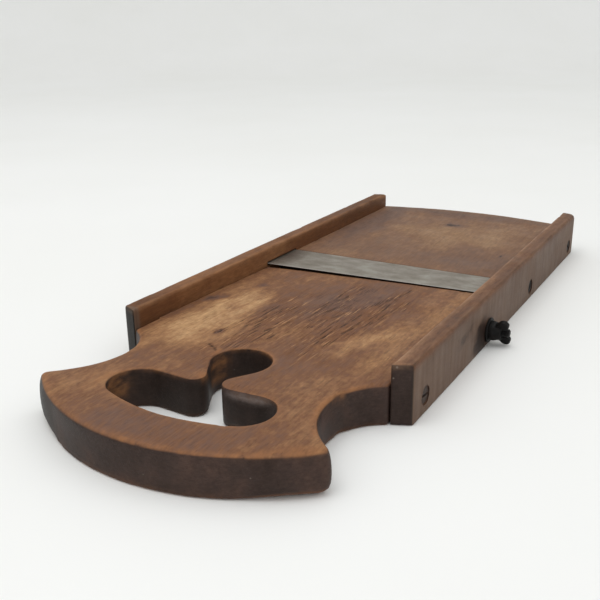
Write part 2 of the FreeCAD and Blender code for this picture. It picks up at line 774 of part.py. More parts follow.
def make_wing_nut():
    """Small cast wing nut: tapered hub with two round-lobed wings, bored for the bolt."""
    body = doc.addObject("PartDesign::Body", "wing_nut")
    body.Label = "wing_nut"
    base_radius = "sizes.nut_base_diameter / 2"
    spin(
        body, "Revolution", "nut_hub",
        [
            ("0", "0"),
            ("sizes.nut_height", "0"),
            ("sizes.nut_height", "sizes.nut_top_diameter / 2"),
            ("sizes.nut_collar_height", base_radius),
            ("0", base_radius),
        ],
    )
    wing = new_sketch(body, "wing_side", "XY_Plane")
    draw_wing(wing)
    pad(body, "wing", wing, "sizes.wing_thickness", "Symmetric")
    mirror_half(body, "wing_pair", "XZ_Plane")
    bore = new_sketch(body, "nut_bore_face", "YZ_Plane")
    draw_circle(bore, "%s + sizes.bolt_fit" % BOLT_RADIUS)
    cut(body, "nut_bore", bore, "sizes.wing_height + %s" % PAST, reverse=True)
    body.Placement = FreeCAD.Placement(Vector(), FreeCAD.Rotation(Vector(1, 0, 0), 1))
    body.setExpression("Placement.Rotation.Angle", "sizes.nut_rest_angle")
    place_on_clamp(body, "%s + sizes.washer_thickness" % OUTER)
    return body


right_rail = make_right_rail()
pieces = [
    make_front_board(),
    make_rear_board(),
    right_rail,
    make_left_rail(right_rail),
    make_blade(),
    make_clamp_bolt(),
    make_nut_washer(),
    make_wing_nut(),
]
SCREWS = {"pivot": (PIVOT_SETBACK, "sizes.pivot_height")}
SCREWS.update({name: (setback, "sizes.rail_screw_height") for name, setback in RAIL_SCREWS.items()})
# How far each driven screw's slot ended up from level, in degrees
SLOT_ANGLES = {"pivot": -16, "middle": 52, "rear": -35}
for side_name, side in (("right", 1), ("left", -1)):
    for screw_name, (setback, height) in SCREWS.items():
        label = "%s_%s_screw" % (side_name, screw_name)
        pieces.append(make_screw(label, side, setback, height, SLOT_ANGLES[screw_name]))
doc.recompute()

for item in doc.Objects:
    if "Invalid" in item.State or "Error" in item.State:
        raise RuntimeError("%s failed: %s" % (item.Name, item.State))
for piece in pieces:
    if piece.Shape.isNull() or not piece.Shape.isValid():
        raise RuntimeError(piece.Label + " has no valid shape")

os.makedirs("parts", exist_ok=True)
for piece in pieces:
    piece.Shape.exportStep("parts/%s.step" % piece.Label)
    box = piece.Shape.BoundBox
    print("%-20s solids %d volume %.1f" % (piece.Label, len(piece.Shape.Solids), piece.Shape.Volume), box)
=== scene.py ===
import json
from math import asin, atan2, ceil, cos, hypot, pi, radians, sin

import bmesh
import bpy
import numpy as np
from mathutils import Matrix, Vector, geometry, kdtree


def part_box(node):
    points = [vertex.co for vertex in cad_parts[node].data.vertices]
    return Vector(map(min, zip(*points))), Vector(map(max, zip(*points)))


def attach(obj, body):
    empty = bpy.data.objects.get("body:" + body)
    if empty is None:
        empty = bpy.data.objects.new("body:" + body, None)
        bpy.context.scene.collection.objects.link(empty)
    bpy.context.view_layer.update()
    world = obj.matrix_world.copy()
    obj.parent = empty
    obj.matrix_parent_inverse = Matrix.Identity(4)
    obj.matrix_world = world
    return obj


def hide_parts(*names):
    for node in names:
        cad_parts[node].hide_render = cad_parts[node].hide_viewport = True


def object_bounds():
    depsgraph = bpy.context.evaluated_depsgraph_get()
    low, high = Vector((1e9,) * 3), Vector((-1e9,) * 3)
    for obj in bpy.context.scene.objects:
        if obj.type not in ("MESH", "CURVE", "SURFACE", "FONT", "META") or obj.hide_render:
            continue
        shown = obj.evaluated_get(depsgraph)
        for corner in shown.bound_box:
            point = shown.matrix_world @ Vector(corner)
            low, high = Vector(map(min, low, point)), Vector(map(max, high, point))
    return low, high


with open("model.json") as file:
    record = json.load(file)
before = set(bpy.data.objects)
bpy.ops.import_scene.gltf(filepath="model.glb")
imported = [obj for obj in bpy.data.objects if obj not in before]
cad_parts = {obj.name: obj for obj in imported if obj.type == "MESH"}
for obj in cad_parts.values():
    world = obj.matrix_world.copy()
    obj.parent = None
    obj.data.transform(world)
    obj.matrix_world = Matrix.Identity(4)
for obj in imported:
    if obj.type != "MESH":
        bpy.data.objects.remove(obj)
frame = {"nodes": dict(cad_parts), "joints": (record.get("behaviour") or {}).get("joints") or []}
cad_bounds = [list(corner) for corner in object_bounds()]

MM = 0.001

# Camera, fitted to the slicer's straight edges in the photograph
CAMERA_PLACE = Vector((0.19343, -0.44056, 0.16764))
CAMERA_YAW = radians(-30.1856)
CAMERA_PITCH = radians(19.5197)
CAMERA_ROLL = radians(-0.83662)
FOCAL_PIXELS = 810.433
IMAGE_PIXELS = 600
SENSOR_MM = 36.0

# Light tent's strength overhead and at its sides, and its lamp, in metres and watts
TENT_TOP = 1.04
TENT_SIDES = 0.64
TENT_COLOUR = (0.985, 0.995, 1.0, 1.0)
LAMP_PLACE = Vector((-0.12, -0.45, 1.35))
LAMP_TARGET = Vector((0, -0.1, 0))
LAMP_SIZE = 0.9
LAMP_POWER = 4.5
FLOOR_GAP = 0.1 * MM

# A level that clears every bore, slot and kerf in the boards and rails
PLAIN_LEVEL = 13.6 * MM
# Points of the frame's meshes closer than this are one point, as are points of a cap
WELD = 1e-6
CAP_WELD = 1e-9
# A cap's grid keeps this share of its spacing away from the outline
CAP_MARGIN = 0.6
ROUND_STEPS = 5
# Points on each side of a tight corner with its smaller rounding
CORNER_SPREAD = 3
# Share of a tight corner's radius that its rounding may take, and the least turn of one
CORNER_ROOM = 0.7
LEAST_TURN = 1e-6
# Share of its rounding that a crisp edge keeps
CRISP_SHARE = 0.15
NOISE_KEYS = np.array([12.9898, 78.233, 37.719])
NOISE_GAIN = 43758.5453


def srgb(red, green, blue):
    """Linear colour, with alpha, from 8-bit display values."""
    shares = [channel / 255 for channel in (red, green, blue)]
    return [s / 12.92 if s <= 0.04045 else ((s + 0.055) / 1.055) ** 2.4 for s in shares] + [1.0]


def walnut(*colours):
    """Even stops from the wood's darkest stains over its plain colour to the palest."""
    return [(i / (len(colours) - 1), srgb(*colour)) for i, colour in enumerate(colours)]


# Colours of the wood, its wear and its dirt, with painted shade and painted sheen among them
WARM = walnut((70, 50, 41), (106, 79, 66), (119, 82, 58), (152, 112, 77), (186, 147, 105))
FADED = walnut((64, 48, 40), (104, 80, 68), (122, 90, 68), (148, 116, 86), (178, 146, 114))
RUDDY = walnut((56, 40, 32), (92, 67, 53), (110, 78, 58), (138, 102, 76), (168, 132, 100))
TAWNY = walnut((54, 36, 24), (90, 59, 38), (114, 74, 46), (140, 97, 63), (168, 126, 90))
PORE = srgb(58, 40, 31)
SPLINTER = srgb(176, 134, 96)
SPLIT = srgb(56, 38, 30)
# Grime with painted shade, laid on upright faces
GRIME_AND_SHADE = [(0.3, srgb(42, 32, 28)), (0.5, srgb(58, 46, 42)), (0.7, srgb(76, 58, 51))]
DUST = [(0.3, srgb(89, 71, 59)), (0.7, srgb(118, 100, 86))]
# Soot, and painted shade on the walls of the hand hole, through the dusty mark
SOOT_AND_SHADE = srgb(32, 32, 30)
SPECK = srgb(158, 146, 134)
# Painted sheen on the hand hole's rubbed slope
PAINTED_SHEEN = srgb(104, 94, 90)
# Dark of gouges and cracks, also painted shade on the walls of cuts
GOUGE_AND_SHADE = srgb(40, 28, 22)
# Colours of the steel and the backdrop's paper
STEEL = [(0.3, srgb(122, 114, 103)), (0.5, srgb(142, 134, 123)), (0.72, srgb(162, 157, 147))]
PITTED = srgb(84, 76, 68)
# Darker steel at the blade's left end
DARKER_STEEL = srgb(104, 93, 84)
KEEN = srgb(205, 203, 198)
PAPER = [(0.3, srgb(238, 238, 235)), (0.7, srgb(241, 241, 239))]


# Camera, stage and light


def show(name, data):
    """New object in the scene."""
    thing = bpy.data.objects.new(name, data)
    bpy.context.scene.collection.objects.link(thing)
    return thing


def show_mesh(name, points, faces, flat=False):
    """New mesh object in the scene."""
    mesh = bpy.data.meshes.new(name)
    mesh.from_pydata(points, [], faces, shade_flat=flat)
    return show(name, mesh)


def make_camera():
    data = bpy.data.cameras.new("camera")
    data.sensor_width = SENSOR_MM
    data.lens = FOCAL_PIXELS / IMAGE_PIXELS * SENSOR_MM
    data.clip_start = 0.01
    camera = show("camera", data)
    stand = Matrix.Translation(CAMERA_PLACE)
    for angle, axis in ((-CAMERA_YAW, "Z"), (pi / 2 - CAMERA_PITCH, "X"), (CAMERA_ROLL, "Z")):
        stand @= Matrix.Rotation(angle, 4, axis)
    camera.matrix_world = stand
    bpy.context.scene.camera = camera


def make_backdrop():
    """Pale floor that sweeps up into a wall behind the slicer, square to the view."""
    near, far, sweep, top = -4.0, 1.7, 1.1, 4.0
    half_width = 6.0
    angles = np.linspace(0, pi / 2, 25)
    curve = zip(far + sweep * np.sin(angles), sweep * (1 - np.cos(angles)))
    profile = [(near, 0.0), *curve, (far + sweep, top)]
    turn = Matrix.Rotation(-CAMERA_YAW, 3, "Z")
    base = Vector((0, 0, cad_bounds[0][2] - FLOOR_GAP))
    points = [
        base + turn @ Vector((side, away, height))
        for away, height in profile
        for side in (-half_width, half_width)
    ]
    faces = [(2 * i, 2 * i + 1, 2 * i + 3, 2 * i + 2) for i in range(len(profile) - 1)]
    backdrop = show_mesh("backdrop", points, faces)
    material, paper = new_material("pale_paper")
    cloud = paper.ramp(paper.noise((3, 3, 3)), PAPER)
    paper.shade({"Base Color": cloud, "Roughness": 0.9, "Specular IOR Level": 0.1})
    backdrop.data.materials.append(material)


def make_light():
    """Light tent, brightest overhead, and one soft lamp above the slicer's left side."""
    world = bpy.data.worlds.new("tent")
    world.use_nodes = True
    sky = Nodes(world.node_tree)
    height = sky.add("SeparateXYZ", {"Vector": sky.places["Generated"]}).outputs["Z"]
    strength = sky.remap(height, 0.0, 1.0, TENT_SIDES, TENT_TOP)
    sky.feed(world.node_tree.nodes["Background"], {"Color": TENT_COLOUR, "Strength": strength})
    bpy.context.scene.world = world
    data = bpy.data.lights.new("soft_lamp", "AREA")
    data.shape = "DISK"
    data.size = LAMP_SIZE
    data.energy = LAMP_POWER
    lamp = show("soft_lamp", data)
    lamp.location = LAMP_PLACE
    lamp.rotation_mode = "QUATERNION"
    lamp.rotation_quaternion = (LAMP_TARGET - LAMP_PLACE).to_track_quat("-Z", "Y")
    bpy.context.scene.view_settings.view_transform = "Standard"


# Materials


class Nodes:
    """Nodes of a material or the world, with the place of their textures shifted."""

    def __init__(self, tree, shift=(0, 0, 0)):
        self.tree = tree
        self.shift = shift
        self.places = self.add("TexCoord", {}).outputs

    def feed(self, node, inputs):
        """Set a node's inputs from values, or link them from sockets."""
        for name, source in inputs.items():
            if isinstance(source, bpy.types.NodeSocket):
                self.tree.links.new(source, node.inputs[name])
            else:
                node.inputs[name].default_value = source

    def add(self, kind, inputs, **settings):
        node = self.tree.nodes.new("ShaderNode" + kind)
        for name, setting in settings.items():
            setattr(node, name, setting)
        self.feed(node, inputs)
        return node

    def shade(self, inputs):
        """Set the principled shader's inputs."""
        self.feed(self.tree.nodes["Principled BSDF"], inputs)

    def stretched(self, scale):
        """The object's coordinates scaled for a texture, in repeats for each metre."""
        inputs = {"Vector": self.places["Object"], "Scale": scale, "Location": self.shift}
        return self.add("Mapping", inputs).outputs["Vector"]

    def noise(self, scale, detail=3.0, rough=0.55, distortion=0.0):
        inputs = {"Vector": self.stretched(scale), "Scale": 1.0}
        inputs |= {"Detail": detail, "Roughness": rough, "Distortion": distortion}
        return self.add("TexNoise", inputs).outputs["Fac"]

    def remap(self, fac, low, high, out_low=0.0, out_high=1.0):
        """Smooth step of a value from one range to another."""
        inputs = {"Value": fac, "From Min": low, "From Max": high, "To Min": out_low, "To Max": out_high}
        return self.add("MapRange", inputs, interpolation_type="SMOOTHSTEP").outputs["Result"]

    def calc(self, operation, first, second=0.0):
        return self.add("Math", {0: first, 1: second}, operation=operation).outputs[0]

    def times(self, first, second):
        return self.calc("MULTIPLY", first, second)

    def mix(self, fac, first, second, blend="MIX"):
        node = self.add("Mix", {}, data_type="RGBA", blend_type=blend)
        slots = [i for i, socket in enumerate(node.inputs) if socket.enabled]
        self.feed(node, dict(zip(slots, (fac, first, second))))
        return next(socket for socket in node.outputs if socket.enabled)

    def ramp(self, fac, stops):
        """Colour ramp through (place, colour) stops."""
        node = self.add("ValToRGB", {"Fac": fac})
        elements = node.color_ramp.elements
        while len(elements) < len(stops):
            elements.new(0.5)
        for element, (place, colour) in zip(elements, stops):
            element.position = place
            element.color = colour
        return node.outputs["Color"]

    def streak(self, colour, fac, dark, pale):
        """Colour dimmed and lifted by a texture, between two shares of itself."""
        greys = self.ramp(fac, [(0.3, [dark] * 3 + [1.0]), (0.7, [pale] * 3 + [1.0])])
        return self.mix(1.0, colour, greys, "MULTIPLY")

    def paint(self, colour, over, cover, share):
        """Colour with another laid over it, by cover times share."""
        return self.mix(self.times(cover, share), colour, over)

    def mark(self, name):
        """Mark that a piece's points carry."""
        return self.add("Attribute", {}, attribute_name=name).outputs["Fac"]

    def bump(self, height, strength, depth):
        inputs = {"Height": height, "Strength": strength, "Distance": depth}
        return self.add("Bump", inputs).outputs["Normal"]


def new_material(name, shift=(0, 0, 0)):
    """New material, and its nodes."""
    material = bpy.data.materials.new(name)
    material.use_nodes = True
    return material, Nodes(material.node_tree, shift)


def make_wood(name, seed, stains, bare, mottling, dark_sides):
    """Old oiled walnut with its grain along Y.

    A piece's marks say where it is stained (tone), splintered (torn), gouged or cracked, with painted
    shade on the walls of cuts (hollow), rubbed bare (worn), dulled by dust, with painted shade on the
    hand hole's walls (dusty), and given a painted sheen (polished). stains are its colours from the
    darkest to the palest, bare is the colour of rubbed edges, and dark_sides tells whether all upright
    faces get grime and painted shade, or only the end grain.
    """
    material, wood = new_material(name, (seed * 3.7, seed * 1.3, seed * 5.9))

    # Stains, and the slow drift of the wood's own colour
    drift = wood.noise((38, 17, 38), 5, 0.62, 0.3)
    bands = wood.noise((170, 13, 170), 4, 0.6, 0.5)
    mottle = wood.noise((380, 220, 380), 5, 0.7)
    tone = wood.times(wood.mark("tone"), 0.5)
    for source, share in ((drift, 0.12), (bands, 0.06), (mottle, 0.11)):
        reach = share * mottling
        tone = wood.calc("ADD", tone, wood.remap(source, 0.27, 0.73, -reach, reach))
    colour = wood.ramp(wood.calc("ADD", tone, 0.5), stains)

    # Fibres and pores, and splintered fibres: pale flecks beside dark gaps, a few of them all over
    fibre = wood.noise((1000, 110, 1000), 4, 0.66, 0.3)
    pore = wood.remap(wood.noise((1900, 85, 1900), 2, 0.5), 0.6, 0.74)
    torn = wood.mark("torn")
    fleck = wood.noise((1050, 60, 1050), 3, 0.6, 0.2)
    loose = wood.remap(torn, 0.0, 0.9, 0.04, 0.9)

    # Grime and painted shade on upright faces, with pale specks in it, and saw marks in the dust
    facing = wood.add("SeparateXYZ", {"Vector": wood.places["Normal"]}).outputs
    axis, low, high = ("Z", 0.85, 0.3) if dark_sides else ("Y", 0.35, 0.8)
    side = wood.remap(wood.calc("ABSOLUTE", facing[axis]), low, high)
    smear = wood.noise((55, 55, 40), 5, 0.62)
    scuff = wood.noise((420, 420, 800), 4, 0.7)
    grime_and_shade = wood.streak(wood.ramp(smear, GRIME_AND_SHADE), scuff, 0.75, 1.25)
    cells = wood.add("TexVoronoi", {"Vector": wood.stretched((110, 110, 110)), "Scale": 1.0})
    # Soot, and painted shade in the hand hole, where the dusty mark is
    grime_and_shade = wood.mix(wood.mark("dusty"), grime_and_shade, SOOT_AND_SHADE)
    grime_and_shade = wood.mix(wood.remap(cells.outputs["Distance"], 0.07, 0.04, 0.0, 0.35), grime_and_shade, SPECK)
    sawn = wood.noise((24, 260, 24), 5, 0.66, 0.15)
    rub = wood.remap(wood.noise((140, 45, 140), 5, 0.65), 0.32, 0.66)

    # What lies over the stained wood, from the bottom up: colour, cover and share
    layers = [
        (PORE, pore, 0.5),
        (SPLINTER, wood.remap(fleck, 0.58, 0.68), loose),
        (SPLIT, wood.remap(fleck, 0.44, 0.34), loose),
        (wood.ramp(sawn, DUST), wood.mark("dusty"), 0.85),
        # Upright faces darkened: grime and painted shade
        (grime_and_shade, side, 0.96),
        (bare, wood.times(wood.mark("worn"), rub), 0.75),
        # Painted sheen on the hand hole's slope
        (PAINTED_SHEEN, wood.mark("polished"), wood.remap(scuff, 0.3, 0.7, 0.35, 1.0)),
        (GOUGE_AND_SHADE, wood.mark("hollow"), 0.92),
    ]
    colour = wood.streak(colour, fibre, 0.8, 1.17)
    for over, cover, share in layers:
        colour = wood.paint(colour, over, cover, share)

    # Sheen and relief
    gloss = wood.calc("ADD", wood.remap(smear, 0.3, 0.7, 0.48, 0.62), wood.times(torn, 0.2))
    gloss = wood.calc("SUBTRACT", gloss, wood.times(side, 0.1))
    relief = wood.calc("SUBTRACT", wood.times(fibre, 0.5), wood.times(pore, 0.5))
    relief = wood.calc("ADD", relief, wood.times(fleck, wood.times(loose, 2.0)))
    normal = wood.bump(relief, 0.55, 0.3 * MM)
    wood.shade({"Base Color": colour, "Roughness": gloss, "Specular IOR Level": 0.13, "Normal": normal})
    return material


def make_steel():
    """Blade steel, gone grey and mottled, rubbed lengthwise along X."""
    material, steel = new_material("patinated_steel")
    cloud = steel.noise((60, 100, 100), 5, 0.65)
    rubbed = steel.noise((22, 2400, 2400), 3, 0.6)
    speck = steel.noise((420, 700, 700), 3, 0.6)
    colour = steel.streak(steel.ramp(cloud, STEEL), rubbed, 0.97, 1.03)
    colour = steel.mix(steel.remap(speck, 0.62, 0.74, 0.0, 0.4), colour, PITTED)
    colour = steel.paint(colour, DARKER_STEEL, steel.mark("tone"), steel.remap(speck, 0.3, 0.7, 0.55, 0.9))
    colour = steel.paint(colour, KEEN, steel.mark("worn"), 0.75)
    gloss = steel.remap(cloud, 0.3, 0.7, 0.52, 0.4)
    normal = steel.bump(rubbed, 0.18, 0.05 * MM)
    steel.shade({"Base Color": colour, "Metallic": 0.72, "Roughness": gloss, "Normal": normal})
    return material


def make_iron(name, black, brown, rust_share):
    """Blackened iron with some brown on it."""
    material, iron = new_material(name)
    cloud = iron.noise((320, 320, 320), 4, 0.6)
    grain = iron.noise((2200, 2200, 2200), 3, 0.6)
    colour = iron.paint(black, brown, iron.remap(cloud, 0.45, 0.68), rust_share)
    colour = iron.streak(colour, grain, 0.7, 1.3)
    gloss = iron.remap(cloud, 0.3, 0.7, 0.45, 0.68)
    normal = iron.bump(grain, 0.35, 0.08 * MM)
    iron.shade({"Base Color": colour, "Metallic": 0.05, "Specular IOR Level": 0.18})
    iron.shade({"Roughness": gloss, "Normal": normal})
    return material


# Noise and outlines


def noise_at(points, seed=0):
    """Smooth value from -1 to 1 at each row of points, the same in every run."""
    axes = points.shape[1]
    cell = np.floor(points)
    share = ease(points - cell, 1)
    total = np.zeros(len(points))
    for corner in np.ndindex(*[2] * axes):
        weight = np.prod(np.where(corner, share, 1 - share), axis=1)
        key = (cell + corner) @ NOISE_KEYS[:axes] + seed
        total += weight * (np.sin(key) * NOISE_GAIN % 1 * 2 - 1)
    return total


def ease(rise, span):
    """0 below zero, 1 above the span, and a smooth step between."""
    share = np.clip(rise / span, 0, 1)
    return share * share * (3 - 2 * share)


def row_lengths(rows):
    return np.linalg.norm(rows, axis=1)


def node_corners(node):
    return np.array([vert.co for vert in frame["nodes"][node].data.vertices])


def plan_loops(node):
    """Outlines where a node's mesh crosses the plain level, outer first, outer anticlockwise."""
    mesh = bmesh.new()
    mesh.from_mesh(frame["nodes"][node].data)
    bmesh.ops.remove_doubles(mesh, verts=mesh.verts, dist=WELD)
    everything = mesh.verts[:] + mesh.edges[:] + mesh.faces[:]
    plane = {"plane_co": (0, 0, PLAIN_LEVEL), "plane_no": (0, 0, 1)}
    cut = bmesh.ops.bisect_plane(mesh, geom=everything, **plane)["geom_cut"]
    mesh.edges.index_update()
    edges = {item.index: item for item in cut if isinstance(item, bmesh.types.BMEdge)}
    loops = []
    while edges:
        start, here = edges.pop(min(edges)).verts
        loop = [start]
        while here is not start:
            loop.append(here)
            edge = next(item for item in here.link_edges if item.index in edges)
            here = edges.pop(edge.index).other_vert(here)
        loops.append(np.array([vert.co.xy for vert in loop]))
    mesh.free()
    loops.sort(key=lambda loop: -abs(signed_area(loop)))
    return [loop if (signed_area(loop) > 0) == (i == 0) else loop[::-1] for i, loop in enumerate(loops)]


def signed_area(loop):
    ahead = np.roll(loop, -1, axis=0)
    return np.sum(loop[:, 0] * ahead[:, 1] - ahead[:, 0] * loop[:, 1]) / 2


def even_loop(loop, step, soften):
    """Closed outline in even steps, its corners softened by about that length."""
    closed = np.vstack([loop, loop[:1]])
    spans = row_lengths(np.diff(closed, axis=0))
    lengths = np.concatenate([[0], np.cumsum(spans)])
    count = round(lengths[-1] / step)
    places = np.arange(count) * lengths[-1] / count
    even = np.column_stack([np.interp(places, lengths, closed[:, axis]) for axis in (0, 1)])
    reach = ceil(3 * soften / step)
    offsets = np.arange(-reach, reach + 1)
    weights = np.exp(-0.5 * (offsets * step / soften) ** 2)
    weights /= weights.sum()
    return sum(weight * np.roll(even, -offset, axis=0) for offset, weight in zip(offsets, weights))


def loop_normals(loop):
    """Directions away from the wood along an outline."""
    along = np.roll(loop, -1, axis=0) - np.roll(loop, 1, axis=0)
    along /= row_lengths(along)[:, None]
    return np.column_stack([along[:, 1], -along[:, 0]])


def corner_shares(loop, inset):
    """Share of an inset that each point of an outline can take before a tight corner closes up."""
    ahead = np.roll(loop, -1, axis=0) - loop
    behind = loop - np.roll(loop, 1, axis=0)
    cross = behind[:, 0] * ahead[:, 1] - behind[:, 1] * ahead[:, 0]
    turn = np.arctan2(cross, np.sum(behind * ahead, axis=1))
    pace = 0.5 * (row_lengths(ahead) + row_lengths(behind))
    room = CORNER_ROOM * pace / np.maximum(turn, LEAST_TURN)
    shares = np.minimum(1.0, room / inset)
    spread = range(-CORNER_SPREAD, CORNER_SPREAD + 1)
    shares = np.min([np.roll(shares, offset) for offset in spread], axis=0)
    return np.mean([np.roll(shares, offset) for offset in spread], axis=0)


def inside_loops(points, loops):
    """True for each point that lies in the outer outline and in none of the holes."""
    inside = np.zeros(len(points), bool)
    for loop in loops:
        for (ax, ay), (bx, by) in zip(loop, np.roll(loop, -1, axis=0)):
            if ay == by:
                continue
            crosses = (points[:, 1] < ay) != (points[:, 1] < by)
            inside ^= crosses & (points[:, 0] < ax + (points[:, 1] - ay) * (bx - ax) / (by - ay))
    return inside


# Boards and rails as dense closed meshes


def bridge(rings):
    """Faces between each ring of point numbers and the next."""
    faces = []
    for near, far in zip(rings, rings[1:]):
        faces += np.column_stack([near, np.roll(near, -1), np.roll(far, -1), far]).tolist()
    return faces


class Plank:
    """Points and faces of a board with rounded edges, raised from its outline.

    Its sizes are in millimetres. step and wall_step space its points round the outline and up the sides,
    crowns and foot round its edges, and top and base space the points of the faces, across and along.
    dense is a test for places with a closer spacing, crisp one for edges that are hardly rounded. points
    are in metres, places in millimetres, and rim is each point's distance from the nearest rounded edge.
    """

    def __init__(self, node, step, soften, crowns, foot, wall_step, top, base, dense=None, crisp=None):
        low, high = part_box(node)
        self.crisp = crisp
        self.points = np.empty((0, 3))
        self.rim = np.empty(0)
        self.faces = []
        self.loops = [even_loop(loop, step * MM, soften * MM) for loop in plan_loops(node)]
        walls = [
            self.add_wall(loop, low.z, high.z, crown * MM, foot * MM, wall_step * MM)
            for loop, crown in zip(self.loops, crowns)
        ]
        self.faces += self.add_cap([rings[-1] for rings in walls], top, dense)
        under = self.add_cap([rings[0] for rings in walls], base)
        self.faces += [face[::-1] for face in under]
        self.places = self.points / MM
        self.rim /= MM

    def add_points(self, plan, height, rim):
        """Numbers of new points at one height."""
        count = len(plan)
        first = len(self.points)
        self.points = np.vstack([self.points, np.column_stack([plan, np.full(count, height)])])
        self.rim = np.append(self.rim, np.full(count, rim))
        return np.arange(first, first + count)

    def add_wall(self, loop, low, high, crown, foot, wall_step):
        """Rings of points up the side of one outline, from its foot to its crown."""
        wall_low = low + foot
        wall_high = high - crown
        steps = max(2, round((wall_high - wall_low) / wall_step))
        angles = np.linspace(0, pi / 2, ROUND_STEPS + 1)
        profile = [(foot * (1 - sin(a)), low + foot * (1 - cos(a))) for a in angles]
        profile += [(0.0, height) for height in np.linspace(wall_low, wall_high, steps + 1)[1:-1]]
        profile += [(crown * (1 - cos(a)), high - crown * (1 - sin(a))) for a in angles]
        shares = corner_shares(loop, max(crown, foot))
        if self.crisp:
            shares = shares * np.where(self.crisp(loop), CRISP_SHARE, 1.0)
        away = loop_normals(loop) * shares[:, None]
        rings = []
        for inset, height in profile:
            rim = max(0.0, min(height - wall_low, wall_high - height))
            rings.append(self.add_points(loop - away * inset, height, rim))
        self.faces += bridge(rings)
        return rings

    def add_cap(self, rings, spacing, dense=None):
        """Faces inside the rings, on a grid of new points, seen from above."""
        outline = np.concatenate(rings)
        loops = [self.points[ring][:, :2] for ring in rings]
        height = self.points[outline[0]][2]
        tree = kdtree.KDTree(len(outline))
        for number in outline:
            tree.insert(self.points[number], number)
        tree.balance()
        grid = cap_grid(loops, spacing, dense)
        reach = np.array([tree.find((x, y, height))[2] for x, y in grid])
        finest = min(spacing[0], dense[1]) if dense else spacing[0]
        keep = reach > CAP_MARGIN * finest * MM
        grid, reach = grid[keep], reach[keep]
        names = np.append(outline, self.add_points(grid, height, reach))

        ahead = np.concatenate([np.roll(ring, -1) for ring in rings])
        order = {number: i for i, number in enumerate(outline)}
        edges = [(order[start], order[end]) for start, end in zip(outline, ahead)]
        spots = np.vstack([*loops, grid])
        found = geometry.delaunay_2d_cdt([Vector(spot) for spot in spots], edges, [], 0, CAP_WELD)
        triangles = np.array([[found[3][corner][0] for corner in face] for face in found[2]])
        centres = spots[triangles].mean(axis=1)
        return names[triangles[inside_loops(centres, loops)]].tolist()


def cap_grid(loops, spacing, dense=None):
    """Grid points inside the outlines, with a closer spacing where the dense test holds."""
    low = np.vstack(loops).min(axis=0)
    high = np.vstack(loops).max(axis=0)

    def spread(pitches):
        spans = zip(low, high, np.array(pitches) * MM)
        axes = [np.arange(start + pitch / 2, end, pitch) for start, end, pitch in spans]
        return np.stack(np.meshgrid(*axes), axis=-1).reshape(-1, 2)

    grid = spread(spacing)
    if dense:
        test, *pitches = dense
        closer = spread(pitches)
        grid = np.vstack([grid[~test(grid)], closer[test(closer)]])
    return grid[inside_loops(grid, loops)]


def new_piece(name, points, faces, body, material, replaced):
    """Mesh object that rides on a body and stands for a CAD node."""
    piece = show_mesh(name, points, faces)
    piece.data.materials.append(material)
    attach(piece, body)
    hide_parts(replaced)
    return piece


def set_marks(piece, **marks):
    """Per-point marks for the materials; a wood mark that isn't named is zero."""
    count = len(piece.data.vertices)
    for name in WOOD_MARKS:
        attribute = piece.data.attributes.new(name, "FLOAT", "POINT")
        attribute.data.foreach_set("value", np.zeros(count) + marks.get(name, 0.0))


def push_out(piece, heights):
    """Move each point along its normal, by heights in millimetres."""
    normals = [item.vector.copy() for item in piece.data.vertex_normals]
    for vert, normal, height in zip(piece.data.vertices, normals, heights):
        vert.co += normal * height * MM
    piece.data.update()


def apply_modifiers(piece):
    """Give a piece the mesh that its modifiers make of it."""
    graph = bpy.context.evaluated_depsgraph_get()
    shaped = bpy.data.meshes.new_from_object(piece.evaluated_get(graph))
    piece.modifiers.clear()
    old, piece.data = piece.data, shaped
    bpy.data.meshes.remove(old)


def carve(piece, cutters):
    """Cut closed meshes out of a piece."""
    for points, faces in cutters:
        cutter = show_mesh("cutter", points, faces, flat=True)
        modifier = piece.modifiers.new("carve", "BOOLEAN")
        modifier.operation = "DIFFERENCE"
        modifier.solver = "EXACT"
        modifier.object = cutter
        apply_modifiers(piece)
        bpy.data.meshes.remove(cutter.data)
    piece.data.name = piece.name


def paint_cut_shade(piece):
    """Paint shade on the points that carving added, which have no tone: the walls of kerfs, slots and
    seats take the gouge colour through the hollow mark.
    """
    attributes = piece.data.attributes
    for tone, hollow in zip(attributes["tone"].data, attributes["hollow"].data):
        if tone.value == 0:
            hollow.value = CUT_SHADE_SHARE


def box_mesh(low, high):
    """Points and faces of a box between two opposite corners."""
    xs, ys, zs = [sorted(pair) for pair in zip(low, high)]
    points = [(x, y, z) for x in xs for y in ys for z in zs]
    faces = [(0, 1, 3, 2), (4, 6, 7, 5), (0, 4, 5, 1), (2, 3, 7, 6), (0, 2, 6, 4), (1, 5, 7, 3)]
    return points, faces


def lathe_mesh(profile, centre, side, steps):
    """Turned form about an axis along X: the profile pairs a place along side * X with a radius.

    A profile that doesn't start and end on the axis is closed to a ring.
    """
    points, rings = [], []
    for along, radius in profile:
        count = steps if radius else 1
        rings.append(len(points) + np.arange(steps) % count)
        for angle in 2 * pi * np.arange(count) / steps:
            y = centre.y + radius * cos(angle)
            points.append((side * along, y, centre.z + radius * sin(angle)))
    if profile[0][1]:
        rings.append(rings[0])
    faces = [list(dict.fromkeys(face))[::side] for face in bridge(rings)]
    return points, faces


def turned_sizes(node, side=1):
    """Centre and radius of a turned node, and where it starts and ends along side * X."""
    low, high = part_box(node)
    start, end = sorted((side * low.x, side * high.x))
    return (low + high) / 2, (high.y - low.y) / 2, start, end


# Wear of the wood

WOOD_MARKS = ("tone", "torn", "hollow", "worn", "dusty", "polished")
# Share of painted shade on the walls of cuts
CUT_SHADE_SHARE = 0.8

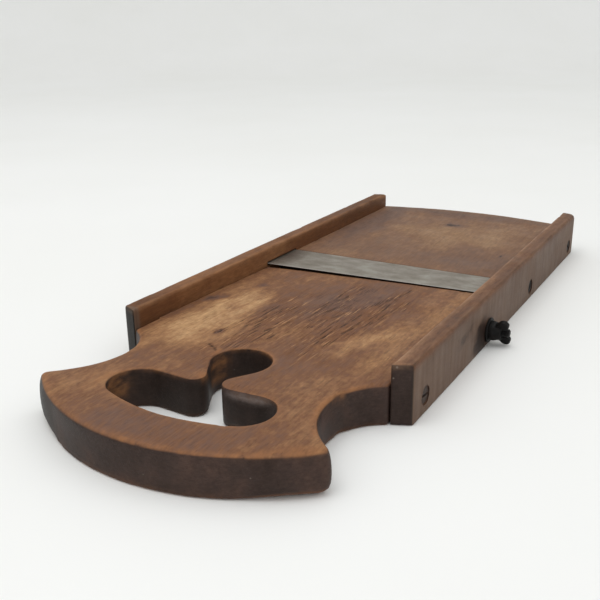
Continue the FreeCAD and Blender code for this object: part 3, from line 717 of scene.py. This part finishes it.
# Splintered parts of the bed, in millimetres on its plan: centre, reach across and along, lean, share
TORN_PATCHES = [
    ((22, -94), (16, 52), -5, 1.0),
    ((-18, -114), (16, 40), 0, 0.9),
    ((2, -98), (20, 54), -5, 0.85),
]
# Cracks along the bed's grain, as paths in millimetres on its plan
CRACKS = [
    [(28.7, -57), (28.9, -70), (27.6, -84), (27.9, -92), (26.6, -103), (24.5, -111)],
    [(19.8, -117), (18.2, -127), (15.5, -132)],
    [(2.4, -58), (1.4, -69)], [(-1.6, -71), (-1.4, -82)],
    [(12.7, -85), (10.9, -94)],
    [(-4.8, -101), (-5.9, -111), (-6.7, -118)],
    [(-8.3, -118), (-10.6, -126)], [(29.7, -33), (28.3, -48)],
    [(-24.5, -152.5), (-21, -154.4), (-18, -157)],
    [(-30.8, -139), (-29.2, -137), (-30.4, -134)],
]
# Width of a crack, of the dense mesh about it, and how far it wanders, in millimetres
CRACK_WIDTH = 0.8
CRACK_MARGIN = 2.0
CRACK_WANDER = 0.45
# Share of the bed's fall midway between the rails, and its change towards the right rail
BED_WARP = (0.66, -0.5)
# The blade's edge and the bed's end run askew: their setback for each length across
EDGE_SKEW = 0.052
# The horns' reach on the plan, their lower rounding and their swell at half height
HORN_Y = -220
HORN_REACH = (24, 24)
HORN_ROUND = 4.5 * MM
HORN_SWELL = 1.5 * MM
# Stains on the plan: centre, reach across and along, lean in degrees, tone from dark to pale
FRONT_STAINS = [
    ((-44, -124), (20, 42), 0, 0.7), ((-56, -78), (14, 32), 0, 0.3),
    ((-30, -150), (18, 18), 20, 0.12), ((38, -118), (9, 18), -8, 0.62),
    ((47, -98), (10, 20), -8, 0.3), ((58, -80), (14, 70), 0, 0.22),
    ((4, -54), (40, 26), 0, -0.2), ((-4, -88), (20, 32), -8, -0.25),
    ((-25, -100), (5, 20), 0, -0.35), ((24, -158), (22, 18), 0, -0.1),
    ((50, -146), (18, 20), 0, 0.1), ((-52, -208), (18, 18), 0, 0.15),
    ((0, -232), (44, 10), 0, -0.22), ((-62, -94), (4, 9), -30, -0.8),
    ((-51, -61.5), (3, 3.5), 0, -0.6), ((-30, -137), (2.4, 4), 0, -0.8),
]
REAR_STAINS = [
    ((42, 96), (24, 28), 0, 0.28), ((4, 92), (44, 32), 15, 0.35),
    ((-10, 34), (60, 16), 0, -0.2), ((50, 40), (26, 24), 0, -0.2),
    ((0, 150), (66, 10), 0, -0.4), ((-56, 100), (14, 60), 0, -0.45),
    ((0, 116), (10, 7), 0, -0.4), ((0, 116), (5, 3.6), 0, -1.1),
    ((55, 54), (1.2, 3), 0, -1.0),
]
# Darker patches on the rails' outer faces, about the clamp, with places along and up
RAIL_DARKENING = [((-58, 8.5), (12, 10), 0, 1.0), ((-84, 17.5), (12, 3), 10, 0.6)]
RAIL_DARK_PATCH = ((-57, 8), (13, 10))
# The hand hole's rubbed slope, which carries a painted sheen, and its bulge
HUMP = ((21, -188.5), (12, 5))
HUMP_BULGE = 1.8
# The bare chip at the right-hand neck, the front edge's pale brow, and the darker left end of the blade
CHIP = ((57.2, -172.2), (3, 4))
PALE_BROW = ((55, -226), (18, 3.5), 41)
DARK_BLADE_END = ((-68, -8), (12, 12))
# Grimy left end of the handle, and the walls of the hand hole, grimy and with painted shade, with their
# share
GRIMY_END = ((-66, -214), (44, 26))
GRIMY_SHADED_HOLE = ((0, -184), (50, 38))
HOLE_SHADE_SHARE = 0.5
# Edges of the handle rubbed down by hands: centre, reach across and along, loss in millimetres
RUBBED_EDGES = [
    ((26, -188.5), (16, 5), 0.8),
    ((-7, -180), (7, 8), 0.8),
    ((50, -226), (30, 14), 0.6),
    ((-60, -222), (24, 14), 0.5),
    (*CHIP, 1.0),
]
# Walls of the hand hole that show bare wood: centre, reach, share, and from which height
BARE_WALLS = [
    ((-41, -203), (9, 10), 1.0, 4),
    ((-13.5, -161), (4, 7), 0.9, 2),
    ((-6, -180), (5, 6), 0.7, 13),
]
# Rounding of the rails' front and rear ends, and of the rear's right-hand brow on each rail
RAIL_END_RADII = (1.2 * MM, 2.6 * MM)
RAIL_BROWS = {"right": 4 * MM, "left": 2.2 * MM}


def blob(spots, centre, reach, lean=0.0, ragged=0.35, seed=0):
    """Soft patch from 0 to 1 with a ragged outline about a place, all in millimetres on one plane."""
    away = spots - np.array(centre)
    turn = radians(lean)
    across = away[:, 0] * cos(turn) + away[:, 1] * sin(turn)
    along = away[:, 1] * cos(turn) - away[:, 0] * sin(turn)
    far = np.hypot(across / reach[0], along / reach[1])
    far += ragged * noise_at(spots / (0.3 * np.array(reach)), seed + 11)
    return ease(1.4 - far, 1.1)


def patches(spots, rows, seed, ragged=0.35):
    """Patches times their shares, from rows of centre, reach across and along, lean and share."""
    return [
        share * blob(spots, centre, reach, lean, ragged, seed + i)
        for i, (centre, reach, lean, share) in enumerate(rows)
    ]


def torn_share(spots):
    """How splintered the bed is, from 0 to 1."""
    return np.max(patches(spots, TORN_PATCHES, 0, ragged=0.6), axis=0)


def crack_share(spots, width):
    """1 in the middle of a crack, falling to 0 at a distance from it."""
    aside = np.column_stack([noise_at(spots / 4, seed) for seed in (61, 62)])
    places = spots + CRACK_WANDER * aside
    nearest = np.full(len(spots), np.inf)
    for path in CRACKS:
        for start, end in zip(np.array(path), np.array(path[1:])):
            run = end - start
            share = np.clip((places - start) @ run / (run @ run), 0, 1)
            gap = row_lengths(places - start - share[:, None] * run)
            nearest = np.minimum(nearest, gap)
    return np.clip(1 - nearest / width, 0, 1)


def edge_loss(plank, depth, seed):
    """How far worn edges have been rubbed and nicked away, as negative heights."""
    slow = noise_at(plank.places / 22, seed)
    quick = noise_at(plank.places / 4.5, seed + 5)
    nick = np.clip(noise_at(plank.places / 7, seed + 9) - 0.55, 0, 1) / 0.45
    loss = np.clip(0.35 + 0.4 * slow + 0.25 * quick + 1.6 * nick, 0, None)
    return -depth * np.exp(-plank.rim / 1.1) * loss


def rubbed_edges(plank, reach, seed):
    """Mark of how bare the edges are rubbed."""
    patchy = 0.5 * noise_at(plank.places / 37, seed)
    patchy += 0.25 * noise_at(plank.places / [9, 26, 9], seed + 1)
    return np.exp(-plank.rim / reach) * np.clip(0.5 + patchy, 0, 1)


# Boards


def swell_horns(points, low, high):
    """Let the handle's horns swell at half height, with their lower corners rubbed round."""
    palm = np.array((0, low.y + 40 * MM))
    inward = palm - points[:, :2]
    inward /= row_lengths(inward)[:, None]
    folded = np.column_stack([np.abs(points[:, 0]), points[:, 1]]) / MM
    horns = blob(folded, (high.x / MM, HORN_Y), HORN_REACH, ragged=0.0)
    depth = np.clip(1 - points[:, 2] / HORN_ROUND, 0, 1)
    rise = points[:, 2] / high.z
    shift = HORN_ROUND * (1 - np.sqrt(1 - depth ** 2)) - HORN_SWELL * 4 * rise * (1 - rise)
    points[:, :2] += inward * (horns * shift)[:, None]


def lower_bed(points, node, hinge_y):
    """Let the bed fall from the pivot towards the blade, and its end follow the blade's edge."""
    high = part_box(node)[1]
    corners = node_corners(node)
    end_top = corners[corners[:, 1] > high.y - 0.1 * MM][:, 2].max()
    run = np.clip((points[:, 1] - hinge_y) / (high.y - hinge_y), 0, 1)
    warp = BED_WARP[0] + BED_WARP[1] * points[:, 0] / high.x
    points[:, 2] -= run * warp * (high.z - end_top) * points[:, 2] / high.z
    points[:, 1] += EDGE_SKEW * points[:, 0] * run ** 2


def make_front_board(wood):
    node = "front_board"
    low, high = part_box(node)
    hinge_y = next(joint for joint in frame["joints"] if joint["name"] == "bed_tilt")["pos_m"][1]

    def fitted(plan):
        """Edges that lie along the blade and the rails."""
        beside = (np.abs(plan[:, 0]) > high.x - 4 * MM) & (plan[:, 1] > hinge_y)
        return beside | (plan[:, 1] > high.y - 0.4 * MM)

    def rough(plan):
        """Parts of the bed that need a dense mesh."""
        return torn_share(plan / MM) + crack_share(plan / MM, CRACK_MARGIN) > 0.05

    edges = {"crowns": (1.9, 0.9), "foot": 1.1, "wall_step": 1.7, "crisp": fitted}
    grids = {"top": (1.2, 2.4), "dense": (rough, 0.5, 1.5), "base": (4, 6)}
    plank = Plank(node, step=0.9, soften=1.0, **edges, **grids)
    points = plank.points.copy()
    swell_horns(points, low, high)
    lower_bed(points, node, hinge_y)
    piece = new_piece("worn_front_board", points, plank.faces, "front_bed", wood, node)

    # Splinters, gouges and cracks of the bed, and the handle's rubbed edges
    spots = plank.places[:, :2]
    level = plank.places[:, 2]
    thick = high.z / MM
    below = thick - level
    top = ease(2.2 - below, 1.8)
    torn = torn_share(spots) * top
    split = noise_at(spots / [1.1, 11], 3) + 0.6 * noise_at(spots / [0.7, 6], 4)
    gouge = np.clip((split - 0.3) / 0.6, 0, 1)
    splinter = np.clip((-split - 0.35) / 0.6, 0, 1)
    broken = np.clip(0.4 + 1.3 * noise_at(spots / [4, 7], 63), 0, 1)
    crack = crack_share(spots, CRACK_WIDTH) * broken * top
    hump = blob(spots, *HUMP, ragged=0.0)
    heights = 0.1 * noise_at(plank.places / [28, 70, 28], 1) + edge_loss(plank, 0.24, 2)
    for centre, reach, loss in RUBBED_EDGES:
        heights -= loss * np.exp(-plank.rim / 1.6) * blob(spots, centre, reach, ragged=0.0)
    heights += torn * (0.03 * splinter - 0.1 * gouge) - 0.5 * crack
    heights += HUMP_BULGE * hump * ease(below - 0.8, 3.6) * ease(level - 0.5, 4)
    push_out(piece, heights)

    # Bare wood, and a painted sheen on the hand hole's slope
    crest = ease(1.4 - below, 0.8)
    chip = blob(spots, *CHIP, -30) * np.exp(-plank.rim / 1.2)
    worn = [
        rubbed_edges(plank, 0.7, 6) * np.where(level > thick / 2, crest, 0.3),
        0.8 * top * blob(spots, *PALE_BROW, seed=9),
        chip * ease(level - thick / 2, thick / 4),
    ]
    for i, (centre, reach, share, foot) in enumerate(BARE_WALLS):
        worn.append(share * ease(level - foot, 7) * blob(spots, centre, reach, seed=7 + i))
    # Grime on the handle's left end, and painted shade on the hand hole's walls
    grime_and_hole_shade = np.maximum(blob(spots, *GRIMY_END), HOLE_SHADE_SHARE * blob(spots, *GRIMY_SHADED_HOLE, ragged=0.0))
    set_marks(
        piece,
        tone=sum(patches(spots, FRONT_STAINS, 20)) * top,
        torn=torn,
        hollow=np.maximum(0.5 * torn * np.clip(gouge - 0.5, 0, 1), crack),
        worn=np.max(worn, axis=0),
        dusty=grime_and_hole_shade * (1 - top),
        # Painted sheen on the hand hole's slope
        polished=hump * ease(below - 0.4, 1.0) * (1 - ease(below - 3.4, 1.2)),
    )


def make_rear_board(wood):
    node = "rear_board"
    low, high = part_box(node)
    edges = {"crowns": [1.2], "foot": 1.0, "wall_step": 1.8}
    plank = Plank(node, step=1.1, soften=0.9, top=(1.4, 3.0), base=(4, 6), **edges)

    # The front face slopes away under the blade
    blade_low, blade_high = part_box("blade")
    corners = node_corners(node)
    foot_y = corners[corners[:, 2] < 0.1 * MM][:, 1].min()
    points = plank.points.copy()
    front_y = points[:, 1].min()
    near = np.clip(1 - (points[:, 1] - front_y) / (14 * MM), 0, 1)
    slope = (foot_y - low.y) / (blade_low.z - low.z)
    points[:, 1] += near * ((blade_low.z - points[:, 2]) * slope - (front_y - low.y))

    piece = new_piece("worn_rear_board", points, plank.faces, "frame", wood, node)
    uneven = 0.1 * noise_at(plank.places / [30, 80, 30], 31)
    push_out(piece, uneven + edge_loss(plank, 0.22, 32))
    top = ease(plank.places[:, 2] - high.z / MM + 1.6, 1.4)
    tone = sum(patches(plank.places[:, :2], REAR_STAINS, 40)) * top
    set_marks(piece, tone=tone, worn=rubbed_edges(plank, 1.0, 36))
    past = 2 * MM
    rebate_low = (low.x - past, low.y - past, blade_low.z)
    rebate_high = (high.x + past, blade_high.y + 0.1 * MM, high.z + past)
    carve(piece, [box_mesh(rebate_low, rebate_high)])


# Rails

# Slots of the driven wood screws, in degrees from level
SLOT_ANGLES = {"pivot": -6, "middle": 52, "rear": -35}
SCREW_SHANK = 2.2 * MM
SCREW_HEAD_DEPTH = 2.1 * MM
SEAT_FIT = 0.08 * MM
KERF_FIT = 0.1 * MM
# Half the slot that the clamp bolt passes through, and how far the bolt sinks and rises in it
HALF_SLOT = 2.65 * MM
BOLT_DROP = 2.3 * MM
BOLT_RISE = 1.0 * MM


def seat_cutter(node, side):
    """Countersunk seat of a wood screw, a hair wider than the screw."""
    centre, radius, _, face = turned_sizes(node, side)
    radius += SEAT_FIT
    shank = SCREW_SHANK + SEAT_FIT
    root = face - SCREW_HEAD_DEPTH
    inside = face - 14 * MM
    outside = face + 3 * MM
    profile = [(inside, 0), (inside, shank), (root, shank)]
    profile += [(face, radius), (outside, radius), (outside, 0)]
    return lathe_mesh(profile, centre, side, 40)


def rolled(past, over, radius):
    """How far points of a square corner move back onto a round one, along its two directions."""
    past = np.clip(past + radius, 0, None)
    over = np.clip(over + radius, 0, None)
    back = 1 - radius / np.maximum(np.hypot(past, over), radius)
    return past * back, over * back


def round_ends(points, plan, low, high, brow):
    """Round a rail's ends lengthwise, and its rear end also across its right-hand brow."""
    facing = loop_normals(plan)[:, 1]
    for way, radius in zip((-1, 1), RAIL_END_RADII):
        line = plan[way * facing > 0.85]
        slant, start = np.polyfit(line[:, 0], line[:, 1], 1)
        past = way * (points[:, 1] - start - slant * points[:, 0])
        if way > 0:
            near = ease(past + 24 * MM, 20 * MM)
            aside, down = rolled(points[:, 0] - high.x, points[:, 2] - high.z, brow)
            points[:, 0] -= near * aside
            points[:, 2] -= near * down
        for up, level in ((1, high.z), (-1, low.z)):
            inward, down = rolled(past, up * (points[:, 2] - level), radius)
            points[:, 1] -= way * inward
            points[:, 2] -= up * down


def rail_marks(plank, low, high, side, seed):
    """Tone, darker patches about the clamp, dust and dirt of a rail's outer face, painted bounce light
    on the left rail, and its rubbed upper edges.
    """
    low, high = low / MM, high / MM
    x, y, z = plank.places.T
    upright = plank.places[:, 1:]
    inset = max(high.x, -low.x) - side * x
    depth = side * x - min(abs(low.x), abs(high.x))
    outer = ease(1.2 - inset, 0.8)
    upper = ease(z - high.z + 4, 2.5)
    front = ease(low.y - y + 6, 3)
    darkening = sum(patches(upright, RAIL_DARKENING, 3))
    tone = 0.25 * noise_at(plank.places / [30, 45, 30], seed + 2)
    if side > 0:
        tone += 0.4 * upper * ease(inset - 3, 5) - 0.15
    else:
        # Painted bounce light: a paler stretch along the left rail's upper middle
        tone += 0.45 * blob(upright, (-60, 20), (60, 16), seed=6) - 0.1
    tone -= 1.1 * outer * darkening
    dusty = 0.85 * outer * (1 - upper) * (1 - np.clip(darkening, 0, 1))
    dark_patch = outer * blob(upright, *RAIL_DARK_PATCH, seed=5)
    dirt = np.clip(0.3 + noise_at(plank.places / [3, 10, 3], seed + 4), 0, 1)
    dirt *= upper * np.exp(-np.abs(inset - 0.8) / 0.5)
    arris = upper * np.exp(-np.abs(depth - 0.7) / 0.5)
    rubbed = 0.8 * upper * rubbed_edges(plank, 0.35, seed + 3) * ease(inset, 3)
    return {
        "tone": tone,
        "hollow": np.maximum(dark_patch, 0.5 * dirt),
        "worn": np.maximum(rubbed, arris) * (1 - 0.75 * front),
        "dusty": np.maximum(dusty, front * (side < 0)),
    }


def rail_cutters(side_name, side, low, high):
    """Kerf for the blade, slot for the clamp bolt, and seats for the screws."""
    blade_low, blade_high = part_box("blade")
    inner = min(abs(low.x), abs(high.x)) - 2 * MM
    edge_y = blade_low.y + EDGE_SKEW * min(side * inner, side * blade_high.x)
    kerf_low = (side * inner, edge_y - KERF_FIT, blade_low.z - KERF_FIT)
    kerf_end = side * (blade_high.x + KERF_FIT)
    kerf_high = (kerf_end, blade_high.y + KERF_FIT, blade_high.z + 0.6 * MM)
    bolt = sum(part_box("clamp_bolt"), Vector()) / 2
    slot_low = (low.x - MM, bolt.y - HALF_SLOT, bolt.z - BOLT_DROP - HALF_SLOT)
    slot_high = (high.x + MM, bolt.y + HALF_SLOT, bolt.z + BOLT_RISE + HALF_SLOT)
    seats = [seat_cutter(f"{side_name}_{place}_screw", side) for place in SLOT_ANGLES]
    return [box_mesh(kerf_low, kerf_high), box_mesh(slot_low, slot_high)] + seats


def make_rail(side_name, side, wood):
    node = side_name + "_rail"
    low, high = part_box(node)

    def near_ends(plan):
        return np.abs(plan[:, 1]) > high.y - 8 * MM

    edges = {"crowns": [1.5], "foot": 0.6, "wall_step": 1.7}
    grids = {"top": (1.2, 2.4), "dense": (near_ends, 1.2, 0.8), "base": (2.5, 5)}
    plank = Plank(node, step=0.9, soften=0.8, **edges, **grids)
    points = plank.points.copy()
    round_ends(points, plank.loops[0], low, high, RAIL_BROWS[side_name])
    piece = new_piece("worn_" + node, points, plank.faces, "frame", wood, node)
    seed = 50 + 7 * side
    uneven = 0.04 * noise_at(plank.places / [30, 60, 20], seed)
    push_out(piece, uneven + edge_loss(plank, 0.16, seed + 1))
    set_marks(piece, **rail_marks(plank, low, high, side, seed))
    carve(piece, rail_cutters(side_name, side, low, high))
    # Painted shade on the walls of the kerf, slot and seats
    paint_cut_shade(piece)


# Blade, screws and clamp


def flat_shade(piece, degrees):
    """Keep edges sharper than an angle crisp."""
    piece.data.set_sharp_from_angle(angle=radians(degrees))


def make_blade(steel):
    """Blade with a slightly nicked edge, in sections across X."""
    node = "blade"
    low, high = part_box(node)
    corners = node_corners(node)
    edge_under = corners[corners[:, 1] < low.y + 0.01 * MM][:, 2].min()
    bevel_root = corners[corners[:, 2] < low.z + 0.01 * MM][:, 1].min()
    arris = 0.12 * MM
    land = 1.3 * MM
    land_z = edge_under - (edge_under - low.z) * land / (bevel_root - low.y)
    section = [
        (low.y, edge_under),
        (low.y + land, land_z),
        (bevel_root, low.z),
        (high.y - arris, low.z),
        (high.y, low.z + arris),
        (high.y, high.z - arris),
        (high.y - arris, high.z),
        *[(low.y + width * MM, high.z) for width in (20, 3, 0.8)],
        (low.y, high.z - 0.05 * MM),
    ]
    nicked = 2 * MM
    bright = 1.0 * MM
    xs = np.linspace(low.x, high.x, 220)
    line = np.column_stack([xs, xs * 0]) / MM
    nick = np.clip(noise_at(line / 2.2, 71) - 0.45, 0, 1)
    back = 0.05 * MM * (1 + noise_at(line / 25, 72)) + 0.22 * MM * nick
    points, keen = [], []
    for x, shift in zip(xs, back):
        for y, z in section:
            share = max(0.0, 1 - (y - low.y) / nicked)
            skew = EDGE_SKEW * x * (high.y - y) / (high.y - low.y)
            points.append((x, y + shift * share + skew, z))
            keen.append(max(0.0, 1 - (y - low.y) / bright))
    rings = np.arange(len(points)).reshape(len(xs), len(section))
    faces = bridge(rings) + [rings[0][::-1].tolist(), rings[-1].tolist()]
    piece = new_piece("ground_blade", points, faces, "frame", steel, node)
    # The blade's left end made darker
    dark_end = blob(np.array(points)[:, :2] / MM, *DARK_BLADE_END, seed=8)
    set_marks(piece, worn=keen, tone=dark_end)
    flat_shade(piece, 25)


def make_screw(side_name, side, place, iron):
    """Slotted countersunk head with rubbed edges on its shank."""
    node = f"{side_name}_{place}_screw"
    centre, radius, tip, face = turned_sizes(node, side)
    profile = [
        (tip, 0),
        (tip + 3 * MM, SCREW_SHANK),
        (face - SCREW_HEAD_DEPTH, SCREW_SHANK),
        (face - 0.22 * MM, radius - 0.1 * MM),
        (face - 0.1 * MM, radius - 0.04 * MM),
        (face, radius - 0.25 * MM),
        (face + 0.05 * MM, radius * 0.5),
        (face + 0.06 * MM, 0),
    ]
    points, faces = lathe_mesh(profile, centre, side, 48)
    name = f"{side_name}_{place}_wood_screw"
    body = "front_bed" if place == "pivot" else "frame"
    piece = new_piece(name, points, faces, body, iron, node)
    half_width = 0.55 * MM
    slot_depth = 1.0 * MM
    slot_low = (side * (face - slot_depth), -2 * radius, -half_width)
    slot_high = (side * (face + 2 * MM), 2 * radius, half_width)
    corners, sides = box_mesh(slot_low, slot_high)
    turn = Matrix.Rotation(radians(SLOT_ANGLES[place] * side), 3, "X")
    axis = Vector((0, centre.y, centre.z))
    carve(piece, [([turn @ Vector(corner) + axis for corner in corners], sides)])
    flat_shade(piece, 28)


def make_washer(iron):
    node = "nut_washer"
    centre, rim, inner, outer = turned_sizes(node)
    bore = 2.48 * MM
    bevel = 0.3 * MM
    # Clear of the rail's uneven face
    seat = inner + 0.06 * MM
    corners = [
        (seat, bore),
        (seat, rim - bevel),
        (seat + bevel, rim),
        (outer - bevel, rim),
        (outer, rim - bevel),
        (outer, bore),
    ]
    turned, faces = lathe_mesh(corners, centre, 1, 64)
    points = np.array(turned)
    away = points[:, 1:] - centre.yz
    reach = row_lengths(away)
    dents = 0.012 * (noise_at(2 * away / reach[:, None], 81) + 1)
    points[:, 1:] -= away * (dents * (reach > bore + bevel))[:, None]
    piece = new_piece("iron_washer", points, faces, "washer", iron, node)
    flat_shade(piece, 30)


def make_wing_nut(iron):
    """Rough casting of the CAD nut's form."""
    node = "wing_nut"
    blank = show("nut_blank", frame["nodes"][node].data.copy())
    blank.modifiers.new("join", "WELD").merge_threshold = WELD
    cast = blank.modifiers.new("cast", "REMESH")
    cast.mode = "VOXEL"
    cast.voxel_size = 0.24 * MM
    rubbed = blank.modifiers.new("rub", "SMOOTH")
    rubbed.factor = 1.0
    rubbed.iterations = 4
    apply_modifiers(blank)
    points = np.array([vert.co for vert in blank.data.vertices])
    faces = [list(face.vertices) for face in blank.data.polygons]
    bpy.data.meshes.remove(blank.data)
    piece = new_piece("cast_wing_nut", points, faces, "nut", iron, node)
    push_out(piece, 0.06 * noise_at(points / (1.1 * MM), 91))


def make_clamp_bolt(iron):
    """Domed bolt, threaded where the nut runs."""
    node = "clamp_bolt"
    centre, head_radius, start, end = turned_sizes(node)
    radius = 2.4 * MM
    dome = 3.0 * MM
    pitch = 0.8 * MM
    depth = 0.42 * MM
    lead_in = 0.7 * MM
    thread_start = end - 26 * MM
    thread_step = 0.1 * MM
    dome_radius = (head_radius ** 2 + dome ** 2) / (2 * dome)
    dome_angles = np.linspace(0, asin(head_radius / dome_radius), 9)
    profile = [(start + dome_radius * (1 - cos(a)), dome_radius * sin(a)) for a in dome_angles]
    profile += [(start + dome, radius), (thread_start, radius)]
    profile += [(x, radius) for x in np.arange(thread_start + thread_step, end, thread_step)]
    profile += [(end, radius - 0.6 * MM), (end, 0)]
    points, faces = lathe_mesh(profile, centre, 1, 40)
    shaped = []
    for x, y, z in points:
        away = hypot(y - centre.y, z - centre.z)
        if x > thread_start + thread_step / 2 and away > radius / 2:
            turn = atan2(z - centre.z, y - centre.y) / (2 * pi)
            crest = abs((x / pitch - turn) % 1 * 2 - 1)
            taper = min(1.0, max(0.0, (end - x) / lead_in))
            size = (radius - depth * crest) * (0.78 + 0.22 * taper) / away
            y = centre.y + (y - centre.y) * size
            z = centre.z + (z - centre.z) * size
        shaped.append((x, y, z))
    piece = new_piece("threaded_clamp_bolt", shaped, faces, "front_bed", iron, node)
    flat_shade(piece, 40)


make_backdrop()
make_light()
make_camera()
rail_iron = make_iron("screw_iron_black", srgb(17, 14, 12), srgb(40, 30, 24), 0.5)
pivot_iron = make_iron("screw_iron_brown", srgb(58, 46, 40), srgb(84, 66, 55), 0.7)
clamp_iron = make_iron("clamp_iron_black", srgb(17, 16, 15), srgb(34, 27, 23), 0.35)

make_front_board(make_wood("front_walnut", 1, WARM, srgb(158, 108, 68), 1.0, True))
make_rear_board(make_wood("rear_walnut", 2, FADED, srgb(140, 106, 80), 0.7, True))
right_wood = make_wood("right_rail_walnut", 3, RUDDY, srgb(172, 136, 104), 0.8, False)
left_wood = make_wood("left_rail_walnut", 4, TAWNY, srgb(158, 115, 80), 0.6, False)
for side_name, side, rail_wood in (("right", 1, right_wood), ("left", -1, left_wood)):
    make_rail(side_name, side, rail_wood)
    for place in SLOT_ANGLES:
        make_screw(side_name, side, place, pivot_iron if place == "pivot" else rail_iron)
make_blade(make_steel())
make_washer(clamp_iron)
make_wing_nut(clamp_iron)
make_clamp_bolt(clamp_iron)
